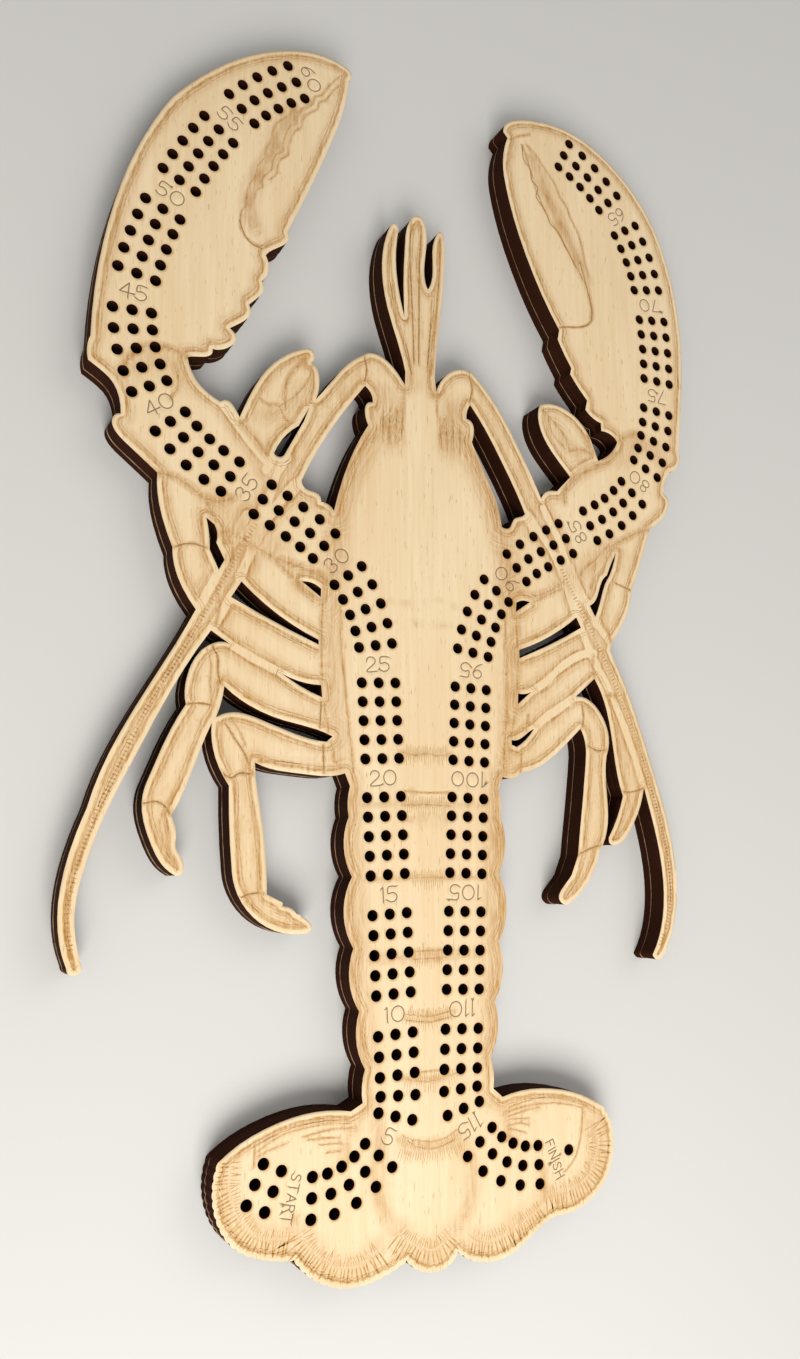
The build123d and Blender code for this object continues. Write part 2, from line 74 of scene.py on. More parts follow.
def smoothLine(points, step):
    # a Catmull-Rom line through the points, a point every step
    if len(points) == 2:
        (ax, ay), (bx, by) = points
        count = max(1, round(math.hypot(bx - ax, by - ay) / step))
        return [(ax + (bx - ax) * i / count, ay + (by - ay) * i / count) for i in range(count + 1)]
    ends = [points[0]] + list(points) + [points[-1]]
    line = []
    for a, b, c, d in zip(ends, ends[1:], ends[2:], ends[3:]):
        count = max(1, round(math.hypot(c[0] - b[0], c[1] - b[1]) / step))
        for i in range(count):
            t = i / count
            line.append(tuple(
                0.5 * (2 * b[k] + (c[k] - a[k]) * t
                       + (2 * a[k] - 5 * b[k] + 4 * c[k] - d[k]) * t * t
                       + (3 * b[k] - a[k] - 3 * c[k] + d[k]) * t ** 3) for k in (0, 1)))
    line.append(tuple(points[-1]))
    return line


def straightLine(points, step):
    line = []
    for a, b in zip(points, points[1:]):
        line += smoothLine([a, b], step)[:-1]
    return line + [points[-1]]


def drawnLine(run, step):
    # a smooth line in the frame, from one typed as x, y, x, y ... on the drawing
    return smoothLine([fromOutline(x, y) for x, y in zip(run[::2], run[1::2])], step)


def nearestTo(points):
    # a tree that answers how far a place is from the nearest of the points
    tree = kdtree.KDTree(len(points))
    for i, point in enumerate(points):
        tree.insert((*point[:2], 0.0), i)
    tree.balance()
    return tree


def distanceTo(tree, x, y):
    return tree.find((x, y, 0.0))[2]


# the drawing's lines, each typed as x, y, x, y ... in the drawing's millimetres

# edges of limbs that lie over one another: a bare rim with a shade beside it
limbRims = [
    (-59.7, 6.8, -53, 3.4, -44.8, -0.4),
    (-55.5, 44, -61.7, 30.3, -67.5, 18.5, -69.5, 15.7),
    (-50.5, 42, -53.5, 35, -57.3, 25.5),
    (-59.7, 20, -62.5, 15, -65.2, 10.3),
    (-63.7, 75.7, -59.5, 71, -55, 65.5, -50.5, 60.5),
    (53.3, 69.7, 58, 73.5, 64.5, 76.7),
    (60.6, 12.3, 55, 11.3, 48, 7.2, 41.5, 1.8, 36.6, -1.3),
    (52.9, -2, 46, -6.3, 41, -9.6, 37.2, -12.8),
    (55.7, 20.2, 59.5, 11.5, 64.5, 3, 69, -6, 73.5, -17, 77.6, -28.8),
    (50, 35, 54, 23.5),
    (49, 43, 53.5, 33.3, 59, 27.7),
    (61.3, 24.2, 64, 19.5, 67.3, 16),
    (-47.7, 62.5, -50.2, 57.5),
    (-39.5, 56, -42.5, 51.5),
    (36, 55, 39, 49.5),
    # the feelers where they lie over the arms
    (-43.6, 62.2, -46.7, 56.8, -49.1, 49.4, -51.8, 43.6, -54.2, 40, -56.3, 36.5),
    (-40.7, 55.1, -43.5, 52, -46.6, 47.9, -49.1, 43.9, -51.5, 39.4, -53.3, 36.2),
    (36.8, 55.1, 40.3, 51, 43.8, 46.4, 46.8, 42.1, 49.3, 36.9, 53.8, 29.2, 56.2, 23.1),
    (42.6, 58.1, 44.6, 54.2, 48.1, 48.2, 51, 41.2, 55, 33.9, 59, 26.9, 61.5, 21.7),
]
# shaded lines: (line, how far the shade reaches)
softLines = [
    # left claw: the jaw with its wavy teeth, then its hinge and the wrist
    ((-27.8, 186.7, -31.1, 182.7, -33.4, 179.1, -35.8, 177.5, -36.7, 174.8, -39.5, 172.6, -41.3, 169.9,
      -41.7, 167.2, -43.6, 165.7, -44.9, 162.5, -45.8, 159.5, -45.8, 157.2, -48, 155.1, -48.9, 152.6,
      -49.3, 150.2, -51.1, 147.9, -52.4, 145.7, -51.9, 144, -53.7, 142.6, -54.5, 140.1), 0.8),
    ((-26, 185.6, -29.6, 181.6, -31.9, 178, -34.2, 176.2, -35.1, 173.6, -37.9, 171.4, -39.7, 168.8,
      -40.1, 166.2, -42, 164.6, -43.3, 161.5, -44.2, 158.6, -44.2, 156.2, -46.5, 154.1, -47.4, 151.6,
      -47.8, 149.2, -49.6, 146.9), 0.7),
    ((-45, 168.1, -47.7, 165.5, -49, 162.3, -49.4, 159.4, -51.1, 156.1, -51.6, 153.2, -53.7, 149.9,
      -54.1, 147.1, -55.9, 143.9, -56.7, 140.9, -57.1, 137.2, -58.3, 134.2, -58.7, 130.5, -57.8, 128.1,
      -56.1, 126.3, -53.4, 125.1, -50.4, 125.8), 0.9),
    ((-73.5, 87, -77.5, 88.6, -82, 88.9, -86, 87.5, -89.5, 84, -91, 80.5), 1.8),
    ((-77, 84, -75.6, 79, -77.5, 74.5), 1.2),
    # left arm, its elbow and the legs under it
    ((-80.9, 52.6, -76, 52, -72, 50, -68, 47.4, -63, 46.8, -59.5, 48.3), 2.0),
    ((-68, 47.2, -66, 44, -64.5, 41), 1.4),
    ((-63, 38, -60, 38.5, -56, 36.5, -53, 35, -47, 32.5, -41, 30.8, -35, 29.3, -31.5, 27.5), 2.4),
    ((-61, 37, -59.5, 33.5, -60, 30.5), 2.4),
    ((-48, 32.5, -42, 27.5, -38, 24.3, -33.2, 20.8), 1.7),
    ((-76, 32.4, -73, 33.6, -70, 33.9, -66.7, 33.2), 1.1),
    ((-63.4, 21, -63.2, 16, -64, 12), 1.0),
    ((-64.6, 6.2, -63.2, 3, -63, -1, -62, -4.5), 1.1),
    ((-66.2, 5, -65, 1, -65.2, -4, -64.5, -9.5), 0.8),
    ((-71.6, -10.1, -68, -9.8, -64.3, -10.2), 0.9),
    ((-82.4, -36.5, -79, -36.1, -76.6, -37.4, -75.2, -39.4), 1.2),
    ((-61, -14.5, -58, -19, -55.5, -22.5, -53.9, -26), 0.9),
    ((-59, -13.6, -56.5, -17.5, -55, -20.7), 0.7),
    ((-61.8, -28, -59, -29.6, -56.5, -28.3, -53.5, -28.4, -52, -27.4), 1.4),
    ((-57, -62, -54, -60.6, -51, -60.2, -48.9, -60.7), 1.0),
    ((-52, -25.2, -46, -24.8, -40, -25.4), 1.0),
    ((-32.4, -19.2, -32, -27.6), 1.1),
    ((-33, -7.4, -33.3, -15.2), 1.2),
    ((-54, -62.5, -49, -66.5, -43, -68.8, -38, -69.5), 1.1),
    ((-78, -41.5, -77, -46.5, -74, -52), 0.9),
    # right claw and wrist
    ((38.1, 182.2, 41, 174.5, 43.4, 166.8, 47.3, 159.3, 50.8, 155.1, 55.6, 147.8, 60.9, 139.5), 0.9),
    ((40, 182.7, 43.6, 179.8, 45.9, 177, 48.3, 174.2, 50.7, 171.4, 52.5, 167.4, 54.9, 164.6, 56.6, 160.5,
      59, 156.5, 60.2, 153.4, 61.3, 149.1, 61.8, 145.8, 62.9, 141.6), 0.9),
    ((60, 145, 62, 138, 64, 130, 63.8, 126.3), 1.6),
    ((63.6, 125.4, 61.5, 123.4, 58, 122.1, 53.5, 121.3, 50.9, 120.6), 0.9),
    ((72.8, 84.6, 76, 86.7, 80, 88.4), 2.6),
    ((33.5, 183, 36.5, 185, 41, 187), 1.0),
    # right arm and the legs under it
    ((50.8, 61, 51.2, 65.5, 54.2, 69.3, 60, 73.2, 66, 76.4, 71.5, 80.5), 1.9),
    ((84, 55.6, 79, 54, 74, 51.3, 70, 49.2, 66, 47.4), 2.0),
    ((66, 47.4, 62, 43, 58, 40, 55.5, 36.8), 1.6),
    ((62, 42.5, 61.5, 37.5, 60, 33.5), 1.4),
    ((49.5, 34.5, 44, 31, 38, 29, 33, 29.5), 2.2),
    ((49, 32.3, 43, 29.6, 37.5, 26.6), 1.2),
    ((69.4, 36.2, 72.5, 35.3, 75.7, 34.2), 1.1),
    ((64, 22, 66.5, 18.5, 67, 16), 1.0),
    ((60.2, 11.5, 59.6, 7.5, 60.3, 4.3), 1.1),
    ((64.8, -1, 67.5, -0.8, 69, -2), 1.4),
    ((55.2, -4, 55.6, -8.5, 54.8, -12), 1.0),
    ((57, -17.3, 60.5, -18.8, 63.8, -18.4), 1.4),
    ((52.2, -51, 56.5, -49.3, 60.4, -48.2), 1.4),
    ((69.8, -31.6, 73, -31.6, 77.6, -30.4), 1.1),
    ((35.2, -8.6, 34.2, -13.6), 1.0),
    ((26.4, -20.3, 26.2, -27.4), 2.0),
    ((32.6, -19.3, 32, -26), 1.0),
    ((54, -54, 51.5, -58.5, 47.5, -63.5), 0.9),
    ((74.5, -34, 72, -40, 67, -46), 0.9),
    # small pincers
    ((-44.3, 77, -44.7, 82, -43.6, 86, -41.4, 89.6, -38.2, 93.4), 1.5),
    ((-46, 77.3, -43, 79.8, -39.5, 83.5, -37, 87.6, -36.4, 91), 0.9),
    ((-52.6, 78.8, -49.5, 77.2, -46.5, 77.6, -45, 74.6, -43.5, 73), 1.1),
    ((-57.5, 70.5, -53.5, 66.5, -50.5, 63), 2.0),
    ((43.2, 91, 46.5, 88.3, 49.8, 85.3, 52.3, 81.8, 53.2, 79), 1.6),
    ((45.5, 88, 46.6, 84, 49.3, 81, 51.5, 79.3), 1.4),
    ((53.2, 78.3, 57.5, 79.6, 62, 78.8), 1.9),
    ((60.5, 84.5, 61.5, 81.5, 62.3, 79), 1.3),
    # feeler joints, the two dark sockets on the head, and the three spines
    ((-19.4, 97.3, -18.7, 93, -19.6, 88.6), 0.9),
    ((16.2, 98.7, 17.4, 93.5, 16.4, 88.5), 1.0),
    ((-13.6, 72.4, -13.2, 81), 1.2),
    ((-11.4, 72.7, -11.2, 81.6), 1.5),
    ((-9.2, 73.1, -8.8, 81.9), 1.5),
    ((-7.4, 73.5, -6.6, 82), 1.3),
    ((6.4, 72.6, 5.8, 82), 1.3),
    ((8.4, 72.4, 7.9, 82.2), 1.5),
    ((10.6, 72.2, 10.3, 82), 1.5),
    ((12.8, 72, 12.8, 80.5), 1.3),
    ((15, 71, 14.5, 77), 1.5),
    ((-17, 71, -15.5, 75.5), 1.6),
    ((-6.2, 91, -6.3, 83.5), 0.9),
    ((4.9, 91, 4.9, 83.5), 1.0),
    ((-9.3, 140, -11.1, 128, -9.7, 117, -7.2, 107, -4.4, 97), 1.0),
    ((-3.4, 144, -3.9, 131, -3.2, 115, -2.8, 98), 0.8),
    ((0.1, 144, -0.7, 131, -0.9, 115, -1.2, 98), 0.8),
    ((6.8, 141.5, 6.4, 131, 5.3, 118, 4.2, 106, 3.2, 96), 1.1),
    ((3.6, 120, 2.7, 108, 1.6, 97), 0.7),
    # sides of the carapace and its cross grooves
    ((-31.8, 26.3, -32.9, 17, -32.9, 4, -32.3, -7, -30.6, -16, -28.4, -25), 1.5),
    ((-27.2, 20, -26.6, 5, -25, -10, -23.2, -27), 1.1),
    ((31.2, 26, 31.9, 17, 31.8, 4, 30.8, -7, 28.8, -16), 1.8),
    ((27.6, 20, 28, 5, 27.4, -10, 26, -24), 1.8),
    ((-28.6, 46, -26.6, 55, -22.6, 65, -18.6, 72), 1.3),
    ((26.6, 48, 25, 56, 21.8, 64, 17.8, 72), 1.5),
    # tail fan: hatching on the lobes and the contour beside the last hole
    ((-50.2, -126.2, -46, -123.9, -41.4, -122.4, -32.1, -121.5, -24.2, -122), 0.7),
    ((-50, -124.6, -46, -122.8, -42.4, -121.4, -33.2, -120.6, -24.7, -120.9), 0.7),
    ((-50.2, -127.4, -46.4, -126.2, -42.4, -125.1), 0.7),
    ((-37.3, -124, -33.1, -123.3, -28.9, -123, -23.6, -123.3), 0.7),
    ((-36.3, -125, -32.1, -124.9, -27.4, -125.4), 0.6),
    ((-32.6, -126.6, -27.4, -126.8), 0.6),
    ((-31, -128.8, -27.3, -128.8), 0.6),
    ((-51, -124.1, -51.2, -126.7, -51.4, -129.9), 0.8),
    ((25.2, -124, 32, -123, 41.4, -123.2, 51, -125.4), 0.7),
    ((25.8, -122.7, 35.1, -121.3, 44.6, -122, 52.3, -125.1), 0.7),
    ((25.7, -125.2, 31.3, -124.2, 35.7, -123.9), 0.6),
    ((26.3, -126.2, 31.9, -126.5), 0.6),
    ((25.7, -127.9, 28.7, -127.5, 31.8, -128.3), 0.6),
    ((25.6, -128.9, 28.1, -129.4, 31.1, -130.5), 0.6),
    ((25, -130.4, 28, -132.2), 0.6),
    ((51, -125.4, 50.5, -130.6, 49.7, -134.6, 47.9, -139.1, 45.3, -141.8, 44, -142.7), 0.7),
    ((-7.1, -128.3, -3.7, -130.5, 1.9, -131.3, 7.1, -129.9), 0.9),
    # edges of the tail rings between the two tracks
    ((-7.8, -21.2, -4, -21.9, 0, -21.5, 4, -21.9, 7.6, -21.3), 0.62),
    ((-7, -32.4, 0, -32.8, 7.4, -32.6), 0.62),
    ((-7, -36.4, 0, -36.3, 7, -36.5), 0.62),
    ((-6, -57.2, 0, -57.1, 6, -57.3), 0.62),
    ((-4.6, -77.6, 4.6, -77.6), 0.62),
    ((-4.6, -79.8, 4.6, -79.8), 0.62),
    ((-6.6, -94.8, 0, -95.7, 6.6, -94.8), 0.62),
    ((-6.4, -96.4, 0, -97.2, 6.4, -96.4), 0.62),
    ((-2.4, -110.6, 2.6, -110.6), 0.62),
    ((-8.8, -111.6, -4, -113, 4, -113.1, 8.8, -111.7), 0.62),
    ((-8.4, -127, -5, -128.5, 0, -129.4, 5, -128.9, 8.2, -127.3), 0.62),
]
# broad light toasting: (line, reach, strength)
washes = [
    ((-42.2, 170.3, -45.8, 164.1, -48, 158.8, -50.2, 153.6, -52.8, 148.3, -55, 143.2, -56.2, 138.3,
      -55.7, 133.1, -54.4, 130.7), 3.8, 0.85),
    ((41.7, 178.1, 45.2, 172.3, 47.5, 166.1, 51, 160.2, 54, 155.3, 56.9, 150.4, 59.2, 145.3, 61.6, 140.2),
      3.4, 0.85),
    ((-25.2, -30, -25, -45, -24.2, -60, -23.6, -75, -22.6, -92, -20.6, -108), 6.5, 0.8),
    ((25.2, -30, 25, -45, 24.4, -60, 23.8, -75, 22.8, -92, 20.8, -108), 7.5, 0.95),
    ((-29.2, 28, -29.8, 15, -29.6, 0, -28.4, -12, -26.8, -25), 5.0, 0.6),
    ((29.6, 28, 30, 15, 29.8, 0, 28.6, -12, 26.8, -25), 5.4, 0.68),
    ((-29.6, 30, -28.4, 42, -25.8, 54, -21.4, 65, -17, 73), 5.6, 0.8),
    ((29.4, 28, 27.8, 42, 25, 54, 20.8, 64, 16.4, 73), 6.4, 0.9),
    ((-10.8, 23.3, -5, 23.4, 0, 23.8, 5, 24.2, 9.4, 23.2), 0.8, 0.5),
    ((-8.4, 16, -4, 16.9, 0, 16.6, 4, 16.7, 8.4, 17), 0.8, 0.5),
    # rings of the tail
    ((-8.4, -21, -4, -21.9, 0, -21.5, 4, -21.9, 8, -21.2), 1.4, 0.6),
    ((-22, -36.8, -12, -36.3, 0, -36.2, 12, -36.5, 22, -36.8), 1.4, 0.6),
    ((-8, -40.6, 8, -40.6), 1.4, 0.6),
    ((-20, -57.4, -10, -57.3, 0, -57.2, 10, -57.3, 20, -57.4), 1.2, 0.6),
    ((-20, -79, -12, -79, 0, -79.4, 12, -79, 20, -79), 2.3, 0.6),
    ((-7, -95.2, 0, -96.4, 7, -95.2), 1.9, 0.6),
    ((-10, -111.4, -4, -112.7, 4, -112.8, 9.4, -111.6), 1.6, 0.6),
    ((-9.6, -127.6, -5, -129.4, 0, -130.2, 5, -129.8, 9, -128.4), 2.1, 0.6),
    # edges of the beak's ridge
    ((-4.6, 96, -7, 84, -9.5, 70), 0.9, 0.7),
    ((2.8, 96, 5.2, 84, 7.4, 70), 0.9, 0.7),
    ((-12.8, 86, -12, 80, -11, 73), 6.6, 0.66),
    ((10.4, 86, 10.2, 80, 10, 73), 6.6, 0.66),
    ((-90, 79, -84, 84, -78, 84, -74, 80), 5.5, 0.5),
    ((89, 82, 83, 85, 78, 83, 74, 79), 5.5, 0.55),
    ((-66, 47, -60, 42, -54, 38, -47, 35), 6.0, 0.5),
    ((68, 47, 61, 42, 55, 37, 48, 34), 6.0, 0.55),
    ((-16, -122.8, -15.5, -129.9, -16.1, -137.9, -15.3, -142.7, -13.4, -147.6, -10.2, -151.8), 3.2, 0.62),
    ((9.5, -131.1, 12.9, -136.4, 13.4, -141.8, 12.1, -147.5, 9.4, -152, 6.2, -154.9), 3.4, 0.62),
    ((-18.2, -116.8, -19.8, -120, -23.1, -123, -25, -126.5, -25.8, -131.1), 2.8, 0.55),
    ((19.2, -120.7, 23.4, -122.7, 25.4, -126.4, 25.6, -130.4), 2.8, 0.6),
    ((-40, -143.9, -39.2, -148.5, -37.6, -151.5), 2, 0.7),
    ((37, -141.8, 36.9, -145.8, 36.5, -149.3), 2.2, 0.7),
    ((-9.3, -130.4, -2.6, -131.7, 4.2, -131.5, 8.9, -130.1), 2.2, 0.6),
    ((-2, 92, -2, 110, -1.5, 125), 4.0, 0.4),
    ((-51.5, 73.6, -45.4, 76.1, -39.3, 83.3), 4.5, 0.55),
    ((47.3, 88, 51.9, 81.9, 57.6, 75.9), 4.5, 0.6),
]
# where the tail fan's fringe starts on each lobe
fringeBases = [
    (-57.5, -128.2, -57.9, -131.7, -57.7, -135.3, -55.4, -141.4, -52.7, -144.8, -49.7, -147.5,
     -45.7, -148.7, -41.7, -149.3),
    (-38.2, -147.8, -36.1, -151.7, -32, -155.5, -27.8, -157.9, -23.6, -158.6, -19.4, -157.4, -16.2, -155.6),
    (-9.5, -152.1, -6.2, -155, -1.2, -157.6, 2.7, -157.2, 5.6, -154.8),
    (13.1, -157.3, 19, -158.2, 22.5, -157.2, 26.2, -155.8, 31.1, -154, 34.9, -151.6),
    (37.4, -148.9, 40.6, -148.3, 45.1, -147.9, 49.6, -146.4, 52.9, -143.8, 55, -139.9, 55.9, -135.3,
     54.1, -131),
]
washes += [(base, 5.0, 0.52) for base in fringeBases]
inkLines = [
    # the right jaw's teeth, and the hinges of both jaws
    (38.1, 182.2, 38.6, 177.3, 41, 174.5, 41.5, 170.7, 43.8, 168.5, 43.1, 165, 45.5, 162.2, 47.3, 159.3,
     48.4, 156.7, 50.8, 155.1, 52.6, 152.7, 53.8, 150.2, 55.6, 147.8, 57.3, 144.8, 59.1, 142.4,
     60.9, 139.5),
    (60, 145, 62, 138, 64, 130, 63.8, 126.3),
    (63.6, 125.4, 61.5, 123.4, 58, 122.1, 53.5, 121.3, 50.9, 120.6),
    (-58.8, 131.5, -57.3, 127.6, -55, 125.2, -52, 124.5),
    # joints of the limbs
    (-75.4, 32.6, -73, 33.6, -70, 33.9, -67.4, 33.3),
    (-71, -10.1, -68, -9.8, -65, -10.1),
    (-64.6, 5.6, -63.2, 3, -63, -1, -62.4, -4),
    (-82, -36.6, -79, -36.1, -76.6, -37.4, -75.6, -38.9),
    (-60.4, -15.4, -58, -19, -55.5, -22.5, -54.2, -25.4),
    (-61.2, -28.4, -59, -29.6, -56.5, -28.3, -53.5, -28.4),
    (-56.4, -61.7, -54, -60.6, -51, -60.2),
    (-33, -8, -33.3, -14.6),
    (-32.4, -20, -32.1, -26.8),
    (70, 36, 72.5, 35.3, 75, 34.5),
    (55.2, -4.6, 55.6, -8.5, 55.2, -11),
    (57.6, -17.6, 60.5, -18.8, 63.2, -18.5),
    (53, -50.7, 56.5, -49.3, 59.8, -48.4),
    (70.5, -31.6, 73, -31.6, 77, -30.6),
    (-19.3, 96.4, -18.7, 93, -19.4, 89.6),
    (16.4, 97.6, 17.4, 93.5, 16.6, 89.6),
    # the edges of the middle spine
    (-3.7, 141, -3.9, 131, -3.2, 115, -2.8, 99),
    (0, 141, -0.7, 131, -0.9, 115, -1.2, 99),
    (3.2, 114, 2.6, 106, 1.8, 98),
    (-5.6, 104, -4.4, 99, -3.8, 94.5),
]

# lettering: single strokes in a box one high; the second value is the width
circle = [(0.46 + 0.46 * math.sin(a * math.pi / 9), 0.5 - 0.5 * math.cos(a * math.pi / 9)) for a in range(19)]
six = [(0.6, 1), (0.3, 0.82), (0.08, 0.5), (0.05, 0.25), (0.2, 0.04), (0.45, 0), (0.68, 0.15),
       (0.7, 0.4), (0.5, 0.58), (0.25, 0.55), (0.08, 0.38)]
glyphs = {
    "0": ([circle], 0.92),
    "1": ([[(0.04, 0.86), (0.2, 1), (0.2, 0)]], 0.24),
    "2": ([[(0.04, 0.74), (0.12, 0.92), (0.35, 1), (0.6, 0.92), (0.68, 0.73), (0.58, 0.52), (0, 0),
            (0.74, 0)]], 0.74),
    "3": ([[(0.02, 0.86), (0.2, 1), (0.45, 1), (0.62, 0.85), (0.6, 0.65), (0.36, 0.53)], [(0.36, 0.53),
            (0.62, 0.44), (0.7, 0.22), (0.52, 0.03), (0.22, 0), (0, 0.14)]], 0.7),
    "4": ([[(0.58, 0), (0.58, 1), (0, 0.3), (0.8, 0.3)]], 0.8),
    "5": ([[(0.66, 1), (0.1, 1), (0.05, 0.54), (0.35, 0.62), (0.62, 0.5), (0.7, 0.27), (0.52, 0.04),
            (0.22, 0), (0, 0.12)]], 0.7),
    "6": ([six], 0.72),
    "7": ([[(0, 1), (0.7, 1), (0.24, 0)]], 0.7),
    "8": ([[(0.35, 0.53), (0.12, 0.62), (0.08, 0.82), (0.25, 0.99), (0.45, 0.99), (0.62, 0.82),
            (0.58, 0.62), (0.35, 0.53), (0.08, 0.42), (0.02, 0.2), (0.2, 0.01), (0.5, 0.01),
            (0.68, 0.2), (0.62, 0.42), (0.35, 0.53)]], 0.7),
    "9": ([[(0.72 - x, 1 - y) for x, y in six]], 0.72),
    "A": ([[(0, 0), (0.36, 1), (0.72, 0)], [(0.12, 0.34), (0.6, 0.34)]], 0.72),
    "F": ([[(0.62, 1), (0, 1), (0, 0)], [(0, 0.54), (0.5, 0.54)]], 0.62),
    "H": ([[(0, 0), (0, 1)], [(0.66, 0), (0.66, 1)], [(0, 0.52), (0.66, 0.52)]], 0.66),
    "I": ([[(0.04, 0), (0.04, 1)]], 0.08),
    "N": ([[(0, 0), (0, 1), (0.66, 0), (0.66, 1)]], 0.66),
    "R": ([[(0, 0), (0, 1), (0.42, 1), (0.62, 0.78), (0.42, 0.52), (0, 0.52)], [(0.34, 0.52),
            (0.64, 0)]], 0.64),
    "S": ([[(0.62, 0.86), (0.42, 1), (0.16, 0.97), (0.04, 0.76), (0.2, 0.56), (0.46, 0.45),
            (0.62, 0.24), (0.46, 0.02), (0.18, 0), (0, 0.14)]], 0.64),
    "T": ([[(0, 1), (0.7, 1)], [(0.35, 1), (0.35, 0)]], 0.7),
}
lettering = {
    "numberHeight": 4.2,
    "wordHeight": 2.7,
    "gap": 0.27,              # between letters, as a share of their height
    "trackPitch": 5.46,       # between rows of holes; a number takes one row
    "trackStart": (-35.05, -139.3),
    "trackHeading": -2.0,
    "piecesPerRow": 8,        # a bend is walked in steps this fine
    # (rows long, degrees turned per row), from the tail out to the claw
    "leftBends": [(7.4, 12.8), (21.45, 0), (8.85, 6.55), (5.05, 0), (11.75, -6.43), (9.8, -2.11), (9, -4.14)],
    "rightBends": [(7.4, 12.8), (21.45, 0), (8.85, 6.55), (5.05, 0), (8.15, -6.43), (9.05, -2.16),
                   (12, -5.29)],
    "start": ((-40.6, -138.6), -103.6),
    "finish": ((40.6, -138.4), -70.5),
}


def trackPlace(bends, rows):
    # where the middle lane is after so many rows, and which way it heads
    x, y = lettering["trackStart"]
    heading = math.radians(lettering["trackHeading"])
    pitch = lettering["trackPitch"]
    for length, turn in bends:
        step = min(rows, length)
        pieces = max(1, math.ceil(step * lettering["piecesPerRow"]))
        for i in range(pieces):
            heading += math.radians(turn) * step / pieces / 2
            x += step / pieces * pitch * math.cos(heading)
            y += step / pieces * pitch * math.sin(heading)
            heading += math.radians(turn) * step / pieces / 2
        rows -= step
    return x, y, heading


def written(text, place, angle, height):
    # the strokes of a text centred on a place and turned by an angle
    widths = [glyphs[letter][1] for letter in text]
    gap = lettering["gap"]
    start = -(sum(widths) + gap * (len(text) - 1)) / 2
    strokes = []
    for letter, width in zip(text, widths):
        for stroke in glyphs[letter][0]:
            turned = []
            for u, v in stroke:
                along = (start + u) * height
                up = (v - 0.5) * height
                turned.append((place[0] + along * math.cos(angle) - up * math.sin(angle),
                               place[1] + along * math.sin(angle) + up * math.cos(angle)))
            strokes.append(turned)
        start += width + gap
    return strokes


letterStrokes = []
quarter = math.pi / 2
for group in range(1, 13):
    # five rows and a number: the left track counts up from the tail, the right one down
    rows = 6 * group - 1
    x, y, heading = trackPlace(lettering["leftBends"], rows)
    letterStrokes += written(str(5 * group), fromTrack(x, y), heading - quarter, lettering["numberHeight"])
    if group < 12:
        x, y, heading = trackPlace(lettering["rightBends"], rows)
        text = str(120 - 5 * group)
        letterStrokes += written(text, fromTrack(-x, y), -quarter - heading, lettering["numberHeight"])
for word in ("start", "finish"):
    place, angle = lettering[word]
    letterStrokes += written(word.upper(), fromTrack(*place), math.radians(angle), lettering["wordHeight"])
print("lettering:", len(letterStrokes), "strokes")

# the engraved top board
engraving = {
    "grooveHalfWidth": 0.3,    # of a drawn line
    "grooveDepth": 0.12,
    "letterHalfWidth": 0.27,
    "letterDepth": 0.12,
    "strokeStep": 0.55,        # between points along a line
    "clearOfEdge": 0.45,       # a line stops this short of an edge or a hole
    "smokeReach": 0.8,         # of the smoke stain round each peg hole
    "smokeHeading": -45.0,     # where the air blast carried the smoke, degrees
    "smokeLeast": 0.25,        # of the stain on the far side of a hole
    "smokeMore": 0.6,          # added on the near side
    "furthestRim": 8.0,        # distances from an edge are held up to this
}
# where the top face gets its points, in millimetres
faceGrid = {
    "rimSteps": [0.75, 1.5, 2.3, 3.2],  # rows of points inside the edge, for an even shade
    "rimSpacing": 1.1,         # along the rows inside the edge
    "loopSample": 1.0,
    "ownEdge": 0.94,           # share of its offset that a row's point keeps from any edge
    "limbSpacing": 0.8,        # along the rows beside a limb's edge
    "softSpacing": 0.7,        # along the rows beside a shaded line
    "holePoints": 12,          # in the ring round each hole
    "rowRoom": 0.4,            # a row's points stay this far from edges and holes
    "looseRoom": 0.5,
    "gridStep": 1.9,
    "gridFromEdge": 2.0,
    "gridJitter": 0.2,         # share of a step
    "cell": 0.5,               # one point at most in a cell of this size
    "edgeSample": 0.12,
    "shadeSample": 0.2,
    "grooveSample": 0.1,
}


def placeInScene(name, data):
    made = bpy.data.objects.new(name, data)
    bpy.context.scene.collection.objects.link(made)
    return made


def mergedCopy(node):
    # a CAD board's loose triangles welded into one skin
    skin = bmesh.new()
    skin.from_mesh(node.data)
    bmesh.ops.remove_doubles(skin, verts=skin.verts, dist=weldWithin)
    return skin


def levelFaces(skin, height):
    return [f for f in skin.faces if all(abs(v.co.z - height) < levelWithin for v in f.verts)]


def edgeLoops(faces):
    # the closed runs of edge round a set of faces, as lists of (x, y) in millimetres
    inside = set(faces)
    border = {}
    for face in faces:
        for edge in face.edges:
            if sum(1 for other in edge.link_faces if other in inside) == 1:
                for end in edge.verts:
                    border.setdefault(end, []).append(edge)
    loops = []
    used = set()
    for first in list(border):
        if first in used:
            continue
        loop = []
        here, last = first, None
        while here not in used:
            used.add(here)
            loop.append((here.co.x / mm, here.co.y / mm))
            ways = [e for e in border[here] if e is not last]
            last = ways[0]
            here = last.other_vert(here)
        loops.append(loop)
    return loops


def loopLength(loop):
    return sum(math.hypot(b[0] - a[0], b[1] - a[1]) for a, b in zip(loop, loop[1:] + loop[:1]))


